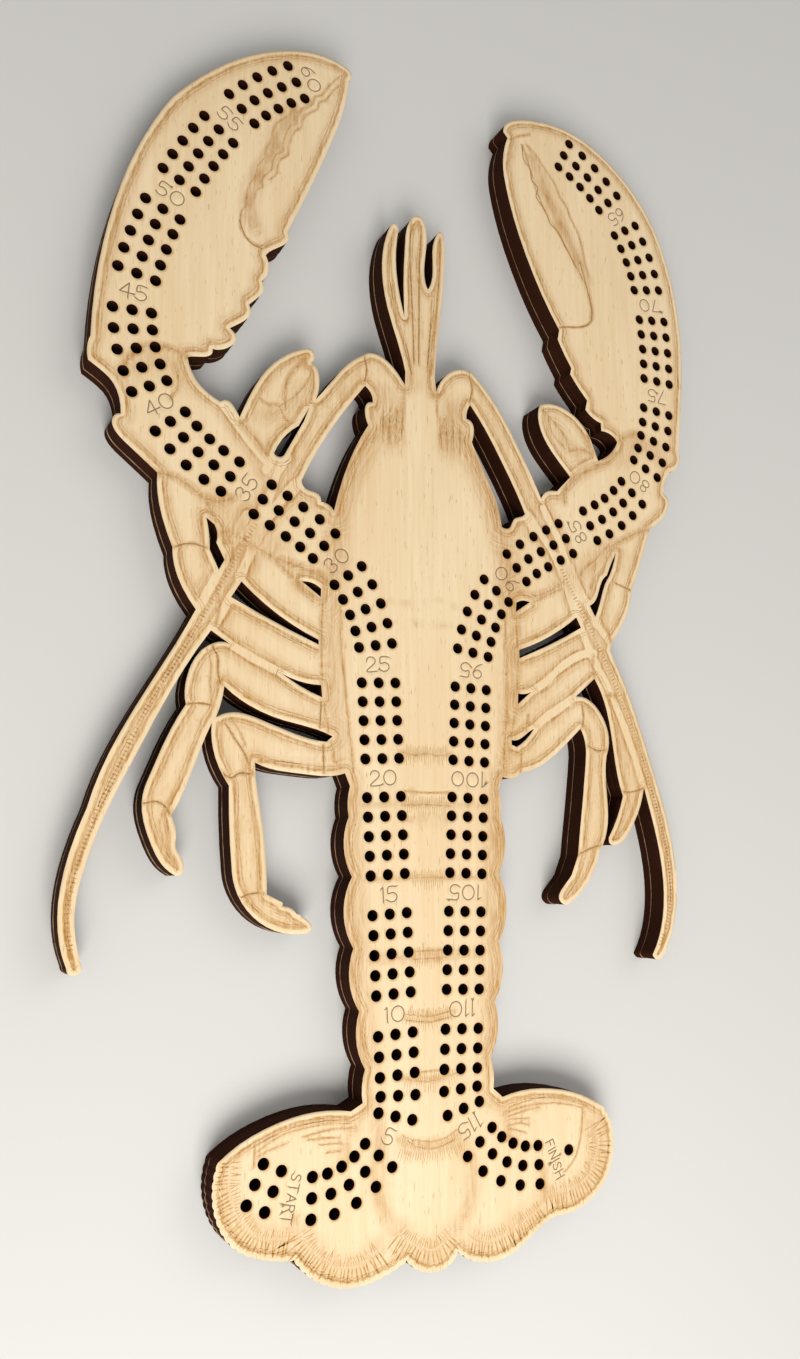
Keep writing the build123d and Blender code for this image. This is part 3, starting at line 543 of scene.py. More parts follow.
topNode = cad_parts["top_board"]
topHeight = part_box("top_board")[1].z
topSkin = mergedCopy(topNode)
topFaces = levelFaces(topSkin, topHeight)
allLoops = edgeLoops(topFaces)
holeRadius = 3.175 / 2         # a 1/8 in peg hole
holeLength = 11.0              # longer than the way round one hole, shorter than any other edge
edgeOnly = [loop for loop in allLoops if loopLength(loop) > holeLength]
holeLoops = [loop for loop in allLoops if loopLength(loop) <= holeLength]
print("top board:", len(edgeOnly), "edges,", len(holeLoops), "holes,", sum(map(len, allLoops)), "points")

edgePoints = []
for loop in edgeOnly:
    edgePoints += straightLine(loop + loop[:1], faceGrid["edgeSample"])
edgeTree = nearestTo(edgePoints)
holeCentres = [(sum(p[0] for p in l) / len(l), sum(p[1] for p in l) / len(l)) for l in holeLoops]
holeTree = nearestTo(holeCentres)

faceCorners = [[v.index for v in f.verts] for f in topFaces]
lookUp = BVHTree.FromPolygons([v.co.copy() for v in topSkin.verts], faceCorners)
overhead = 0.05                # metres, a height well above the board to look down from
down = Vector((0, 0, -1))


def onBoard(x, y):
    return lookUp.ray_cast(Vector((x * mm, y * mm, overhead)), down)[0] is not None


def clearOf(x, y, room):
    if distanceTo(edgeTree, x, y) < room:
        return False
    return distanceTo(holeTree, x, y) > holeRadius + room and onBoard(x, y)


def clearParts(line, room, fewest=2):
    # a line cut at gaps and where it comes too near an edge or a hole, without its shortest parts
    parts, part = [], []
    for point in line:
        if point and clearOf(*point, room):
            part.append(point)
        else:
            parts.append(part)
            part = []
    return [p for p in parts + [part] if len(p) >= fewest]


def beside(line, offset):
    # a line shifted sideways, for the lips of a groove
    moved = []
    for i, (x, y) in enumerate(line):
        a = line[max(0, i - 1)]
        b = line[min(len(line) - 1, i + 1)]
        length = math.hypot(b[0] - a[0], b[1] - a[1]) or 1.0
        moved.append((x - (b[1] - a[1]) / length * offset, y + (b[0] - a[0]) / length * offset))
    return moved


grooves = []                   # (line, half width, depth, 1 for lettering)
for run in inkLines:
    for part in clearParts(drawnLine(run, engraving["strokeStep"]), engraving["clearOfEdge"]):
        grooves.append((part, engraving["grooveHalfWidth"], engraving["grooveDepth"], 0.0))
for stroke in letterStrokes:
    # a stroke of many points is a curve
    trace = smoothLine if len(stroke) > 6 else straightLine
    for part in clearParts(trace(stroke, engraving["strokeStep"]), engraving["clearOfEdge"]):
        grooves.append((part, engraving["letterHalfWidth"], engraving["letterDepth"], 1.0))

points2d, edges2d = [], []


def addRun(line, closed=False):
    first = len(points2d)
    points2d.extend(line)
    edges2d.extend((first + i, first + i + 1) for i in range(len(line) - 1))
    if closed:
        edges2d.append((first + len(line) - 1, first))


for loop in allLoops:
    addRun(loop, closed=True)
for line, halfWidth, depth, lettered in grooves:
    addRun(line)
    addRun(beside(line, halfWidth))
    addRun(beside(line, -halfWidth))

# rows of points that follow the edge, then a loose grid over the rest
random.seed(21)
placed = list(points2d)
takenCells = set()


def takeCell(x, y):
    key = (round(x / faceGrid["cell"]), round(y / faceGrid["cell"]))
    if key in takenCells:
        return False
    takenCells.add(key)
    return True


def addPoint(x, y, room):
    if clearOf(x, y, room) and takeCell(x, y):
        points2d.append((x, y))


def addRows(line, offsets):
    for offset in offsets:
        for x, y in beside(line, offset):
            addPoint(x, y, faceGrid["rowRoom"])


for x, y in placed:
    takeCell(x, y)
for x, y in holeCentres:
    for i in range(faceGrid["holePoints"]):
        angle = i * 2 * math.pi / faceGrid["holePoints"]
        reach = holeRadius + engraving["smokeReach"]
        addPoint(x + reach * math.cos(angle), y + reach * math.sin(angle), faceGrid["looseRoom"])
for run, reach in softLines:
    addRows(drawnLine(run, faceGrid["softSpacing"]), (0, 0.5 * reach, -0.5 * reach, reach, -reach))
for offset in faceGrid["rimSteps"]:
    for loop in edgeOnly:
        line = straightLine(loop + loop[:1], faceGrid["loopSample"])
        spaced = line[:: max(1, round(faceGrid["rimSpacing"] * len(line) / loopLength(loop)))]
        for side in (-offset, offset):
            for x, y in beside(spaced, side):
                # not where the far side of a narrow limb is nearer
                if distanceTo(edgeTree, x, y) > offset * faceGrid["ownEdge"]:
                    addPoint(x, y, faceGrid["rowRoom"])
    for run in limbRims:
        addRows(drawnLine(run, faceGrid["limbSpacing"]), (-offset, offset))
low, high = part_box("top_board")
step = faceGrid["gridStep"]
jitter = faceGrid["gridJitter"]
rows = int((high.y - low.y) / mm / step)
columns = int((high.x - low.x) / mm / step)
for row in range(rows + 1):
    for column in range(columns + 1):
        x = low.x / mm + (column + 0.5 * (row % 2) + random.uniform(-jitter, jitter)) * step
        y = low.y / mm + (row + random.uniform(-jitter, jitter)) * step
        if distanceTo(edgeTree, x, y) > faceGrid["gridFromEdge"]:
            addPoint(x, y, faceGrid["looseRoom"])
print("top face:", len(points2d), "points to join")

joined = delaunay_2d_cdt([Vector(p) for p in points2d], edges2d, [], 0, 1e-6)
flat, triangles = joined[0], joined[2]
grooveSamples = []
for line, halfWidth, depth, lettered in grooves:
    for x, y in straightLine(line, faceGrid["grooveSample"]):
        grooveSamples.append((x, y, halfWidth, depth, lettered))
grooveTree = nearestTo(grooveSamples)
topVerts = []
for point in flat:
    found = grooveTree.find((point.x, point.y, 0.0))
    halfWidth, depth = grooveSamples[found[1]][2:4]
    drop = depth * max(0.0, 1 - found[2] / halfWidth)
    topVerts.append(Vector((point.x * mm, point.y * mm, topHeight - drop * mm)))

bmesh.ops.delete(topSkin, geom=topFaces, context="FACES")
newVerts = [topSkin.verts.new(co) for co in topVerts]
kept = 0
leastArea = 1e-7               # twice a triangle's area, under which it is a sliver
for corners in triangles:
    a, b, c = (flat[i] for i in corners)
    doubleArea = (b - a).cross(c - a)
    if abs(doubleArea) >= leastArea and onBoard((a.x + b.x + c.x) / 3, (a.y + b.y + c.y) / 3):
        order = corners if doubleArea > 0 else corners[::-1]
        topSkin.faces.new([newVerts[i] for i in order])
        kept += 1
bmesh.ops.delete(topSkin, geom=[v for v in topSkin.verts if not v.link_faces], context="VERTS")
bmesh.ops.remove_doubles(topSkin, verts=topSkin.verts, dist=1.5 * weldWithin)
openEdges = sum(1 for e in topSkin.edges if len(e.link_faces) != 2)
print("top face:", kept, "triangles, open edges", openEdges)

# materials


def linear(code):
    # an sRGB hex colour as the linear values a shader works in
    values = [int(code[i:i + 2], 16) / 255 for i in (1, 3, 5)]
    return [v / 12.92 if v <= 0.04045 else ((v + 0.055) / 1.055) ** 2.4 for v in values] + [1.0]


def addNode(tree, kind, inputs=None, **settings):
    # a node with its settings, and each input given a value or a link; a node stands for its first output
    made = tree.nodes.new(kind)
    for name, value in settings.items():
        setattr(made, name, value)
    for name, value in (inputs or {}).items():
        if isinstance(value, bpy.types.Node):
            value = value.outputs[0]
        if isinstance(value, bpy.types.NodeSocket):
            tree.links.new(value, made.inputs[name])
        else:
            made.inputs[name].default_value = value
    return made


def newMaterial(name):
    material = bpy.data.materials.new(name)
    material.use_nodes = True
    material.node_tree.nodes.clear()
    return material, material.node_tree


def finishMaterial(tree, shader):
    addNode(tree, "ShaderNodeOutputMaterial", {"Surface": shader})


birch = {
    "pale": "#f4dbb2",        # fresh rotary-cut birch veneer
    "warm": "#eacb9c",
    "fleck": "#c39a63",       # short dark rays in the veneer
    "grainAcross": 1.1,       # millimetres between grain lines
    "grainAlong": 28.0,
    "fleckAcross": 0.55,
    "fleckAlong": 4.0,
    "roughness": 0.62,
}
scorch = {
    "shade": "#b57d30",       # lightly toasted by the engraving laser
    "smoke": "#b5853a",       # smoke stain round the peg holes
    "line": "#a87b45",        # a drawn line
    "ink": "#7d6347",         # lettering, engraved slower and darker
    "rimBare": 1.0,           # millimetres of bare wood along every edge
    "rimDark": 1.45,          # where the toasting is strongest
    "rimFade": 5.2,
    "strength": 0.72,
    "strokeAcross": 0.42,     # millimetres between the laser's shading strokes
    "strokeAlong": 7.0,
    "wobble": 0.9,            # millimetres that the shade's edge wanders, in waves of 4
    "wobbleScale": 260.0,
    "settled": 0.6,           # of the strongest toasting is left once it starts to fade
    "roughness": 0.8,
}


def birchColour(tree, where):
    # pale veneer with long grain along Y and short flecks; returns colour and grain height
    stretch = addNode(tree, "ShaderNodeMapping", {
        "Vector": where, "Scale": (1 / (birch["grainAcross"] * mm), 1 / (birch["grainAlong"] * mm), 400.0)})
    grain = addNode(tree, "ShaderNodeTexNoise", {
        "Vector": stretch, "Scale": 1.0, "Detail": 4.0, "Roughness": 0.55, "Distortion": 0.3})
    broad = addNode(tree, "ShaderNodeMapping", {"Vector": where, "Scale": (45.0, 9.0, 9.0)})
    cloud = addNode(tree, "ShaderNodeTexNoise", {"Vector": broad, "Scale": 1.0, "Detail": 2.0})
    both = addNode(tree, "ShaderNodeMath", {0: grain, 1: cloud}, operation="ADD")
    tone = addNode(tree, "ShaderNodeMapRange", {"Value": both, "From Min": 0.75, "From Max": 1.3})
    colour = addNode(tree, "ShaderNodeMix", {
        0: tone, 6: linear(birch["pale"]), 7: linear(birch["warm"])}, data_type="RGBA")
    thin = addNode(tree, "ShaderNodeMapping", {
        "Vector": where, "Scale": (1 / (birch["fleckAcross"] * mm), 1 / (birch["fleckAlong"] * mm), 300.0)})
    rays = addNode(tree, "ShaderNodeTexNoise", {"Vector": thin, "Scale": 1.0, "Detail": 1.0})
    fleck = addNode(tree, "ShaderNodeMapRange", {
        "Value": rays, "From Min": 0.66, "From Max": 0.76, "To Max": 0.55},
        interpolation_type="SMOOTHSTEP")
    flecked = addNode(tree, "ShaderNodeMix", {
        0: fleck, 6: colour.outputs[2], 7: linear(birch["fleck"])}, data_type="RGBA")
    return flecked.outputs[2], grain.outputs[0]


def engravedBirch():
    # birch veneer face engraved by laser: bare rims, toasted shade beside every edge
    # and drawn limb, and thin burnt lines; the toasting is streaky along the grain
    material, tree = newMaterial("laser-engraved birch veneer")
    where = addNode(tree, "ShaderNodeTexCoord").outputs["Object"]
    wood, grain = birchColour(tree, where)
    rim, soft, ink, lettered, smoke = (
        addNode(tree, "ShaderNodeAttribute", attribute_name=name).outputs["Fac"]
        for name in ("rimDistance", "shade", "ink", "lettered", "smoke"))
    wobble = addNode(tree, "ShaderNodeTexNoise", {
        "Vector": where, "Scale": scorch["wobbleScale"], "Detail": 2.0})
    nudged = addNode(tree, "ShaderNodeMath", {
        0: wobble, 1: scorch["wobble"], 2: rim}, operation="MULTIPLY_ADD")
    # the wobble adds half of itself on average, so the distances move in by as much
    mean = scorch["wobble"] / 2
    bare, dark = scorch["rimBare"] + mean, scorch["rimDark"] + mean
    rise = addNode(tree, "ShaderNodeMapRange", {
        "Value": nudged, "From Min": bare, "From Max": dark}, interpolation_type="SMOOTHSTEP")
    narrow = addNode(tree, "ShaderNodeMapRange", {
        "Value": nudged, "From Min": scorch["rimDark"] + 0.5, "From Max": scorch["rimDark"] + 1.7,
        "To Min": 1.0, "To Max": scorch["settled"]}, interpolation_type="SMOOTHSTEP")
    fall = addNode(tree, "ShaderNodeMapRange", {
        "Value": nudged, "From Min": scorch["rimDark"] + 0.8, "From Max": scorch["rimFade"] + 0.5,
        "To Min": 1.0, "To Max": 0.0}, interpolation_type="SMOOTHSTEP")
    peak = addNode(tree, "ShaderNodeMath", {0: rise, 1: narrow}, operation="MULTIPLY")
    band = addNode(tree, "ShaderNodeMath", {0: peak, 1: fall}, operation="MULTIPLY")
    # strokes follow the edges and drawn lines, because they are spaced by distance from them
    place = addNode(tree, "ShaderNodeSeparateXYZ", {"Vector": where})
    lineShare = addNode(tree, "ShaderNodeMath", {0: soft, 1: 3.5}, operation="MULTIPLY")
    across = addNode(tree, "ShaderNodeMath", {
        0: rim, 1: 1 / scorch["strokeAcross"], 2: lineShare}, operation="MULTIPLY_ADD")
    alongX, alongY = (
        addNode(tree, "ShaderNodeMath", {
            0: place.outputs[axis], 1: 1 / (scorch["strokeAlong"] * mm)}, operation="MULTIPLY")
        for axis in "XY")
    strokeAt = addNode(tree, "ShaderNodeCombineXYZ", {
        "X": across, "Y": alongX, "Z": alongY})
    hair = addNode(tree, "ShaderNodeTexNoise", {"Vector": strokeAt, "Scale": 1.0, "Detail": 2.0})
    streakAt = addNode(tree, "ShaderNodeMapping", {"Vector": where, "Scale": (1400.0, 110.0, 100.0)})
    streak = addNode(tree, "ShaderNodeTexNoise", {"Vector": streakAt, "Scale": 1.0, "Detail": 3.0})
    woven = addNode(tree, "ShaderNodeMath", {0: hair, 1: streak}, operation="ADD")
    streakGain = addNode(tree, "ShaderNodeMapRange", {
        "Value": woven, "From Min": 0.75, "From Max": 1.25, "To Min": 0.3, "To Max": 1.35})
    most = addNode(tree, "ShaderNodeMath", {0: band, 1: soft}, operation="MAXIMUM")
    toast = addNode(tree, "ShaderNodeMath", {0: most, 1: streakGain}, operation="MULTIPLY")
    toastAmount = addNode(tree, "ShaderNodeMath", {
        0: toast, 1: scorch["strength"]}, operation="MULTIPLY", use_clamp=True)
    stained = addNode(tree, "ShaderNodeMix", {
        0: smoke, 6: wood, 7: linear(scorch["smoke"])}, data_type="RGBA")
    toasted = addNode(tree, "ShaderNodeMix", {
        0: toastAmount, 6: stained.outputs[2], 7: linear(scorch["shade"])}, data_type="RGBA")
    line = addNode(tree, "ShaderNodeMapRange", {
        "Value": ink, "From Min": 0.05, "From Max": 0.6, "To Max": 0.9}, interpolation_type="SMOOTHSTEP")
    inkTone = addNode(tree, "ShaderNodeMix", {
        0: lettered, 6: linear(scorch["line"]), 7: linear(scorch["ink"])}, data_type="RGBA")
    burnt = addNode(tree, "ShaderNodeMix", {
        0: line, 6: toasted.outputs[2], 7: inkTone.outputs[2]}, data_type="RGBA")
    dent = addNode(tree, "ShaderNodeMath", {0: toastAmount, 1: -0.8, 2: grain}, operation="MULTIPLY_ADD")
    bump = addNode(tree, "ShaderNodeBump", {"Strength": 0.25, "Distance": 0.0001, "Height": dent})
    rough = addNode(tree, "ShaderNodeMapRange", {
        "Value": toastAmount, "To Min": birch["roughness"], "To Max": scorch["roughness"]})
    shader = addNode(tree, "ShaderNodeBsdfPrincipled", {
        "Base Color": burnt.outputs[2], "Roughness": rough, "Normal": bump,
        "Specular IOR Level": 0.3})
    finishMaterial(tree, shader)
    return material


def plainBirch():
    # the unengraved veneer of the layers below, sanded
    material, tree = newMaterial("sanded birch veneer")
    where = addNode(tree, "ShaderNodeTexCoord").outputs["Object"]
    wood, grain = birchColour(tree, where)
    bump = addNode(tree, "ShaderNodeBump", {"Strength": 0.2, "Distance": 0.0001, "Height": grain})
    shader = addNode(tree, "ShaderNodeBsdfPrincipled", {
        "Base Color": wood, "Roughness": birch["roughness"], "Normal": bump,
        "Specular IOR Level": 0.3})
    finishMaterial(tree, shader)
    return material


char = {
    "dark": "#120806",        # laser-cut plywood edge
    "brown": "#351a0e",
    # the brown of the lowest layer's up-facing veneer: partly smoke stain, partly painted shade
    "stain": "#5f3b1c",
    "veneer": 1.06,           # millimetres, three veneers in each board
    "seam": 0.22,             # share of a veneer that its glue line browns
    "roughness": 0.85,
    "specular": 0.05,
}


def charredEdge():
    # plywood cut by laser: charred nearly black, with the veneers just told apart
    material, tree = newMaterial("laser-charred plywood edge")
    where = addNode(tree, "ShaderNodeTexCoord").outputs["Object"]
    split = addNode(tree, "ShaderNodeSeparateXYZ", {"Vector": where})
    layer = addNode(tree, "ShaderNodeMath", {
        0: split.outputs["Z"], 1: 1 / (char["veneer"] * mm)}, operation="MULTIPLY")
    part = addNode(tree, "ShaderNodeMath", {0: layer, 1: 1.0}, operation="FRACT")
    seam = addNode(tree, "ShaderNodeMapRange", {
        "Value": part, "From Min": 0.0, "From Max": char["seam"], "To Min": 1.0, "To Max": 0.0},
        interpolation_type="SMOOTHSTEP")
    fleckAt = addNode(tree, "ShaderNodeMapping", {"Vector": where, "Scale": (900.0, 900.0, 250.0)})
    soot = addNode(tree, "ShaderNodeTexNoise", {"Vector": fleckAt, "Scale": 1.0, "Detail": 4.0})
    mixed = addNode(tree, "ShaderNodeMath", {0: soot, 1: seam}, operation="MULTIPLY")
    colour = addNode(tree, "ShaderNodeMix", {
        0: mixed, 6: linear(char["brown"]), 7: linear(char["dark"])}, data_type="RGBA")
    bump = addNode(tree, "ShaderNodeBump", {"Strength": 0.5, "Distance": 0.0001, "Height": soot})
    shader = addNode(tree, "ShaderNodeBsdfPrincipled", {
        "Base Color": colour.outputs[2], "Roughness": char["roughness"], "Normal": bump,
        "Specular IOR Level": char["specular"]})
    finishMaterial(tree, shader)
    return material


def smokeAndShadeBirch():
    # veneer darkened brown, partly by smoke that crept between the layers beside the cut, partly as painted
    # shade of the crease under the layer above
    material, tree = newMaterial("smoke-stained birch veneer with painted shade")
    where = addNode(tree, "ShaderNodeTexCoord").outputs["Object"]
    wood, grain = birchColour(tree, where)
    soot = addNode(tree, "ShaderNodeTexNoise", {"Vector": where, "Scale": 300.0, "Detail": 3.0})
    # patchy darkening: partly smoke stain, partly painted shade
    stain = addNode(tree, "ShaderNodeMapRange", {
        "Value": soot, "From Min": 0.3, "From Max": 0.7, "To Min": 0.55, "To Max": 0.95})
    colour = addNode(tree, "ShaderNodeMix", {
        0: stain, 6: wood, 7: linear(char["stain"])}, data_type="RGBA")
    bump = addNode(tree, "ShaderNodeBump", {"Strength": 0.2, "Distance": 0.0001, "Height": grain})
    shader = addNode(tree, "ShaderNodeBsdfPrincipled", {
        "Base Color": colour.outputs[2], "Roughness": birch["roughness"], "Normal": bump,
        "Specular IOR Level": 0.2})
    finishMaterial(tree, shader)
    return material


engravedFinish = engravedBirch()
# smoke stain with painted shade, for the lowest layer's up-facing veneer
smokeAndShadeFinish = smokeAndShadeBirch()
plainFinish = plainBirch()
charFinish = charredEdge()


smoothAngle = math.radians(35)
wallSlope = 0.6                # a face whose normal rises less than this is a wall


def boardObject(name, skin, finishes):
    mesh = bpy.data.meshes.new(name)
    skin.to_mesh(mesh)
    skin.free()
    for finish in finishes:
        mesh.materials.append(finish)
    mesh.shade_smooth()
    mesh.set_sharp_from_angle(angle=smoothAngle)
    # flat underneath; this comes second, since set_sharp_from_angle clears it
    for polygon in mesh.polygons:
        if polygon.normal.z < -0.9999:
            polygon.use_smooth = False
    return placeInScene(name, mesh)


def paintSides(skin):
    # upright walls get the cut-edge finish, level faces the veneer
    for face in skin.faces:
        face.normal_update()
        face.material_index = int(abs(face.normal.z) < wallSlope)


# finishes: 0 engraved face, 1 charred walls, 2 plain underside
rimSamples = list(edgePoints)
for run in limbRims:
    rimSamples += drawnLine(run, faceGrid["edgeSample"])
rimTree = nearestTo(rimSamples)
softSamples = {}               # by (reach, strength)
for run, reach, strength in [(*line, 1.0) for line in softLines] + washes:
    line = drawnLine(run, faceGrid["shadeSample"])
    softSamples.setdefault((reach, strength), []).extend(line)
softTrees = {kind: nearestTo(samples) for kind, samples in softSamples.items()}
grooveSlope = 0.3              # the sides of a groove are no steeper than this
grooveFloor = topHeight - 0.5 * mm
for face in topSkin.faces:
    face.normal_update()
    if abs(face.normal.z) > grooveSlope and min(v.co.z for v in face.verts) > grooveFloor:
        face.material_index = 0
    else:
        face.material_index = 1 if abs(face.normal.z) < wallSlope else 2
rimLayer, softLayer, inkLayer, letterLayer, smokeLayer = (
    topSkin.verts.layers.float.new(name)
    for name in ("rimDistance", "shade", "ink", "lettered", "smoke"))
blast = math.radians(engraving["smokeHeading"])
for v in topSkin.verts:
    x, y = v.co.x / mm, v.co.y / mm
    v[rimLayer] = min(engraving["furthestRim"], distanceTo(rimTree, x, y))
    found = grooveTree.find((x, y, 0.0))
    v[inkLayer] = max(0.0, 1 - found[2] / grooveSamples[found[1]][2])
    v[letterLayer] = grooveSamples[found[1]][4]
    amount = 0.0
    for (reach, strength), tree in softTrees.items():
        away = distanceTo(tree, x, y) / reach
        if away < 1.0:
            amount = max(amount, strength * (1 - away) ** 0.8)
    v[softLayer] = amount
    centre = holeCentres[holeTree.find((x, y, 0.0))[1]]
    out = math.hypot(x - centre[0], y - centre[1])
    if out < holeRadius + engraving["smokeReach"]:
        heading = math.atan2(y - centre[1], x - centre[0])
        side = engraving["smokeLeast"] + engraving["smokeMore"] * max(0.0, math.cos(heading - blast))
        v[smokeLayer] = side * min(1.0, 1 - (out - holeRadius) / engraving["smokeReach"])
engravedTop = boardObject("engraved_top", topSkin, [engravedFinish, charFinish, plainFinish])
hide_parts("top_board")
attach(engravedTop, "board")
print("engraved top made")

# burnt strokes: rows of short marks along paths on the engraved face
strokes = {
    "light": "#d8b27a",
    "dark": "#b58546",
    "proud": 0.012,           # millimetres of raised char over the veneer
    "thick": 0.05,
    "shortest": 0.55,         # of the length asked for
    "longest": 1.1,
    "roomStep": 0.3,          # a mark's room is found in steps of this
    "clearOfEdge": 0.4,
    "pathStep": 0.8,          # between a drawn path's points
}


def toastedMark():
    # a single pass of the engraving laser: thin brown scorch, matt and uneven
    material, tree = newMaterial("toasted laser mark")
    where = addNode(tree, "ShaderNodeTexCoord").outputs["Object"]
    patch = addNode(tree, "ShaderNodeTexNoise", {"Vector": where, "Scale": 700.0, "Detail": 3.0})
    tone = addNode(tree, "ShaderNodeMapRange", {"Value": patch, "From Min": 0.35, "From Max": 0.65})
    colour = addNode(tree, "ShaderNodeMix", {
        0: tone, 6: linear(strokes["light"]), 7: linear(strokes["dark"])}, data_type="RGBA")
    shader = addNode(tree, "ShaderNodeBsdfPrincipled", {
        "Base Color": colour.outputs[2], "Roughness": 0.8, "Specular IOR Level": 0.2})
    finishMaterial(tree, shader)
    return material


def strokeTree():
    # marks spaced along a path, each a thin lozenge turned from the path's own direction
    tree = bpy.data.node_groups.new("burnt strokes", "GeometryNodeTree")
    sizes = ("Spacing", "Length", "Width", "Thickness", "Start", "Angle", "Wander")
    kinds = {"Path": "Geometry", **dict.fromkeys(sizes, "Float"), "Seed": "Int", "Finish": "Material"}
    sockets = {
        name: tree.interface.new_socket(name, in_out="INPUT", socket_type="NodeSocket" + kind)
        for name, kind in kinds.items()}
    tree.interface.new_socket("Strokes", in_out="OUTPUT", socket_type="NodeSocketGeometry")
    given = addNode(tree, "NodeGroupInput").outputs
    curve = addNode(tree, "GeometryNodeMeshToCurve", {"Mesh": given["Path"]})
    spots = addNode(tree, "GeometryNodeCurveToPoints", {
        "Curve": curve, "Length": given["Spacing"]}, mode="LENGTH")
    along = addNode(tree, "ShaderNodeSeparateXYZ", {"Vector": spots.outputs["Tangent"]})
    facing = addNode(tree, "ShaderNodeMath", {
        0: along.outputs["Y"], 1: along.outputs["X"]}, operation="ARCTAN2")
    back = addNode(tree, "ShaderNodeMath", {0: given["Wander"], 1: -1.0}, operation="MULTIPLY")
    sway = addNode(tree, "FunctionNodeRandomValue", {
        2: back, 3: given["Wander"], "Seed": given["Seed"]}, data_type="FLOAT")
    aimed = addNode(tree, "ShaderNodeMath", {0: facing, 1: given["Angle"]}, operation="ADD")
    turned = addNode(tree, "ShaderNodeMath", {0: aimed, 1: sway.outputs[1]}, operation="ADD")
    euler = addNode(tree, "ShaderNodeCombineXYZ", {"Z": turned})
    turn = addNode(tree, "FunctionNodeEulerToRotation", {0: euler})
    other = addNode(tree, "ShaderNodeMath", {0: given["Seed"], 1: 7.0}, operation="ADD")
    share = addNode(tree, "FunctionNodeRandomValue", {
        2: strokes["shortest"], 3: strokes["longest"], "Seed": other}, data_type="FLOAT")
    wanted = addNode(tree, "ShaderNodeMath", {0: given["Length"], 1: share.outputs[1]}, operation="MULTIPLY")
    room = addNode(tree, "GeometryNodeInputNamedAttribute", {"Name": "room"}, data_type="FLOAT")
    length = addNode(tree, "ShaderNodeMath", {0: wanted, 1: room}, operation="MINIMUM")
    size = addNode(tree, "ShaderNodeCombineXYZ", {
        "X": length, "Y": given["Width"], "Z": given["Thickness"]})
    lozenge = addNode(tree, "GeometryNodeMeshCylinder", {"Vertices": 6, "Radius": 0.5, "Depth": 1.0})
    offset = addNode(tree, "ShaderNodeCombineXYZ", {"X": given["Start"]})
    moved = addNode(tree, "GeometryNodeTransform", {
        "Geometry": lozenge.outputs["Mesh"], "Translation": offset})
    rows = addNode(tree, "GeometryNodeInstanceOnPoints", {
        "Points": spots.outputs["Points"], "Instance": moved, "Rotation": turn,
        "Scale": size})
    real = addNode(tree, "GeometryNodeRealizeInstances", {"Geometry": rows})
    finished = addNode(tree, "GeometryNodeSetMaterial", {
        "Geometry": real, "Material": given["Finish"]})
    addNode(tree, "NodeGroupOutput", {"Strokes": finished})
    return tree, sockets


burntTree, burntSockets = strokeTree()
toastedFinish = toastedMark()


def roomFor(path, angle, start, most):
    # how long a mark may be at each point of a path before it meets an edge or a hole
    rooms = []
    step = strokes["roomStep"]
    ends = [share for share in (start - 0.5, start + 0.5) if share]
    for i, (x, y) in enumerate(path):
        a, b = path[max(0, i - 1)], path[min(len(path) - 1, i + 1)]
        heading = math.atan2(b[1] - a[1], b[0] - a[0]) + math.radians(angle)
        ways = [(share * math.cos(heading), share * math.sin(heading)) for share in ends]
        length = 0.0
        while length < most and all(
                clearOf(x + (length + step) * u, y + (length + step) * v, strokes["clearOfEdge"])
                for u, v in ways):
            length += step
        rooms.append(length * mm)
    return rooms


def burntStrokes(name, paths, spacing, length, width, start=0.5, angle=90.0, wander=10.0, seed=1):
    # one piece of marks along all the paths; sizes in millimetres and degrees
    verts, edges, rooms = [], [], []
    level = topHeight + (strokes["proud"] - strokes["thick"] / 2) * mm
    for path in paths:
        first = len(verts)
        verts += [(x * mm, y * mm, level) for x, y in path]
        edges += [(first + i, first + i + 1) for i in range(len(path) - 1)]
        rooms += roomFor(path, angle, start, length)
    pathMesh = bpy.data.meshes.new(name + " path")
    pathMesh.from_pydata(verts, edges, [])
    pathMesh.attributes.new("room", "FLOAT", "POINT").data.foreach_set("value", rooms)
    maker = placeInScene(name + " path", pathMesh)
    modifier = maker.modifiers.new("strokes", "NODES")
    modifier.node_group = burntTree
    values = {"Spacing": spacing * mm, "Length": length * mm, "Width": width * mm,
              "Thickness": strokes["thick"] * mm, "Start": start, "Angle": math.radians(angle),
              "Wander": math.radians(wander), "Seed": seed, "Finish": toastedFinish}
    for socket, value in values.items():
        modifier[burntSockets[socket].identifier] = value
    seen = maker.evaluated_get(bpy.context.evaluated_depsgraph_get())
    mesh = bpy.data.meshes.new_from_object(seen)
    maker.modifiers.remove(modifier)
    bpy.data.objects.remove(maker)
    mesh.name = name
    made = placeInScene(name, mesh)
    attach(made, "board")
    print(name + ":", len(mesh.polygons), "faces")


def drawnPaths(runs, room=0.9):
    # the parts of drawn lines that keep well clear of holes and edges
    return [part for run in runs for part in clearParts(drawnLine(run, strokes["pathStep"]), room, 3)]


burntStrokes("fringe_burns", drawnPaths(fringeBases),
             spacing=1.0, length=7.6, width=0.5, angle=-90, wander=9, seed=3)
burntStrokes("fringe_inner_burns", drawnPaths(fringeBases),
             spacing=0.8, length=3.4, width=0.2, wander=14, seed=4)
ringHairs = [
    (-7.6, -21.2, 0, -21.5, 7.6, -21.3),
    (-7, -36.2, 0, -36.2, 7, -36.4),
    (-6, -57.2, 0, -57.1, 6, -57.3),
    (-5, -79.4, 5, -79.4),
    (-6.6, -95, 0, -96, 6.6, -95),
    (-8.6, -112.2, -4, -113, 4, -113.1, 8.6, -112.2),
    (-9, -130, -5, -131.2, 0, -132, 5, -131.5, 9, -130.2),
]
burntStrokes("ring_hairs", drawnPaths(ringHairs),
             spacing=0.55, length=3.0, width=0.18, wander=5, seed=5)
burntStrokes("ring_under_hairs", drawnPaths(ringHairs),
             spacing=0.7, length=4.4, width=0.16, angle=-90, wander=5, seed=6)
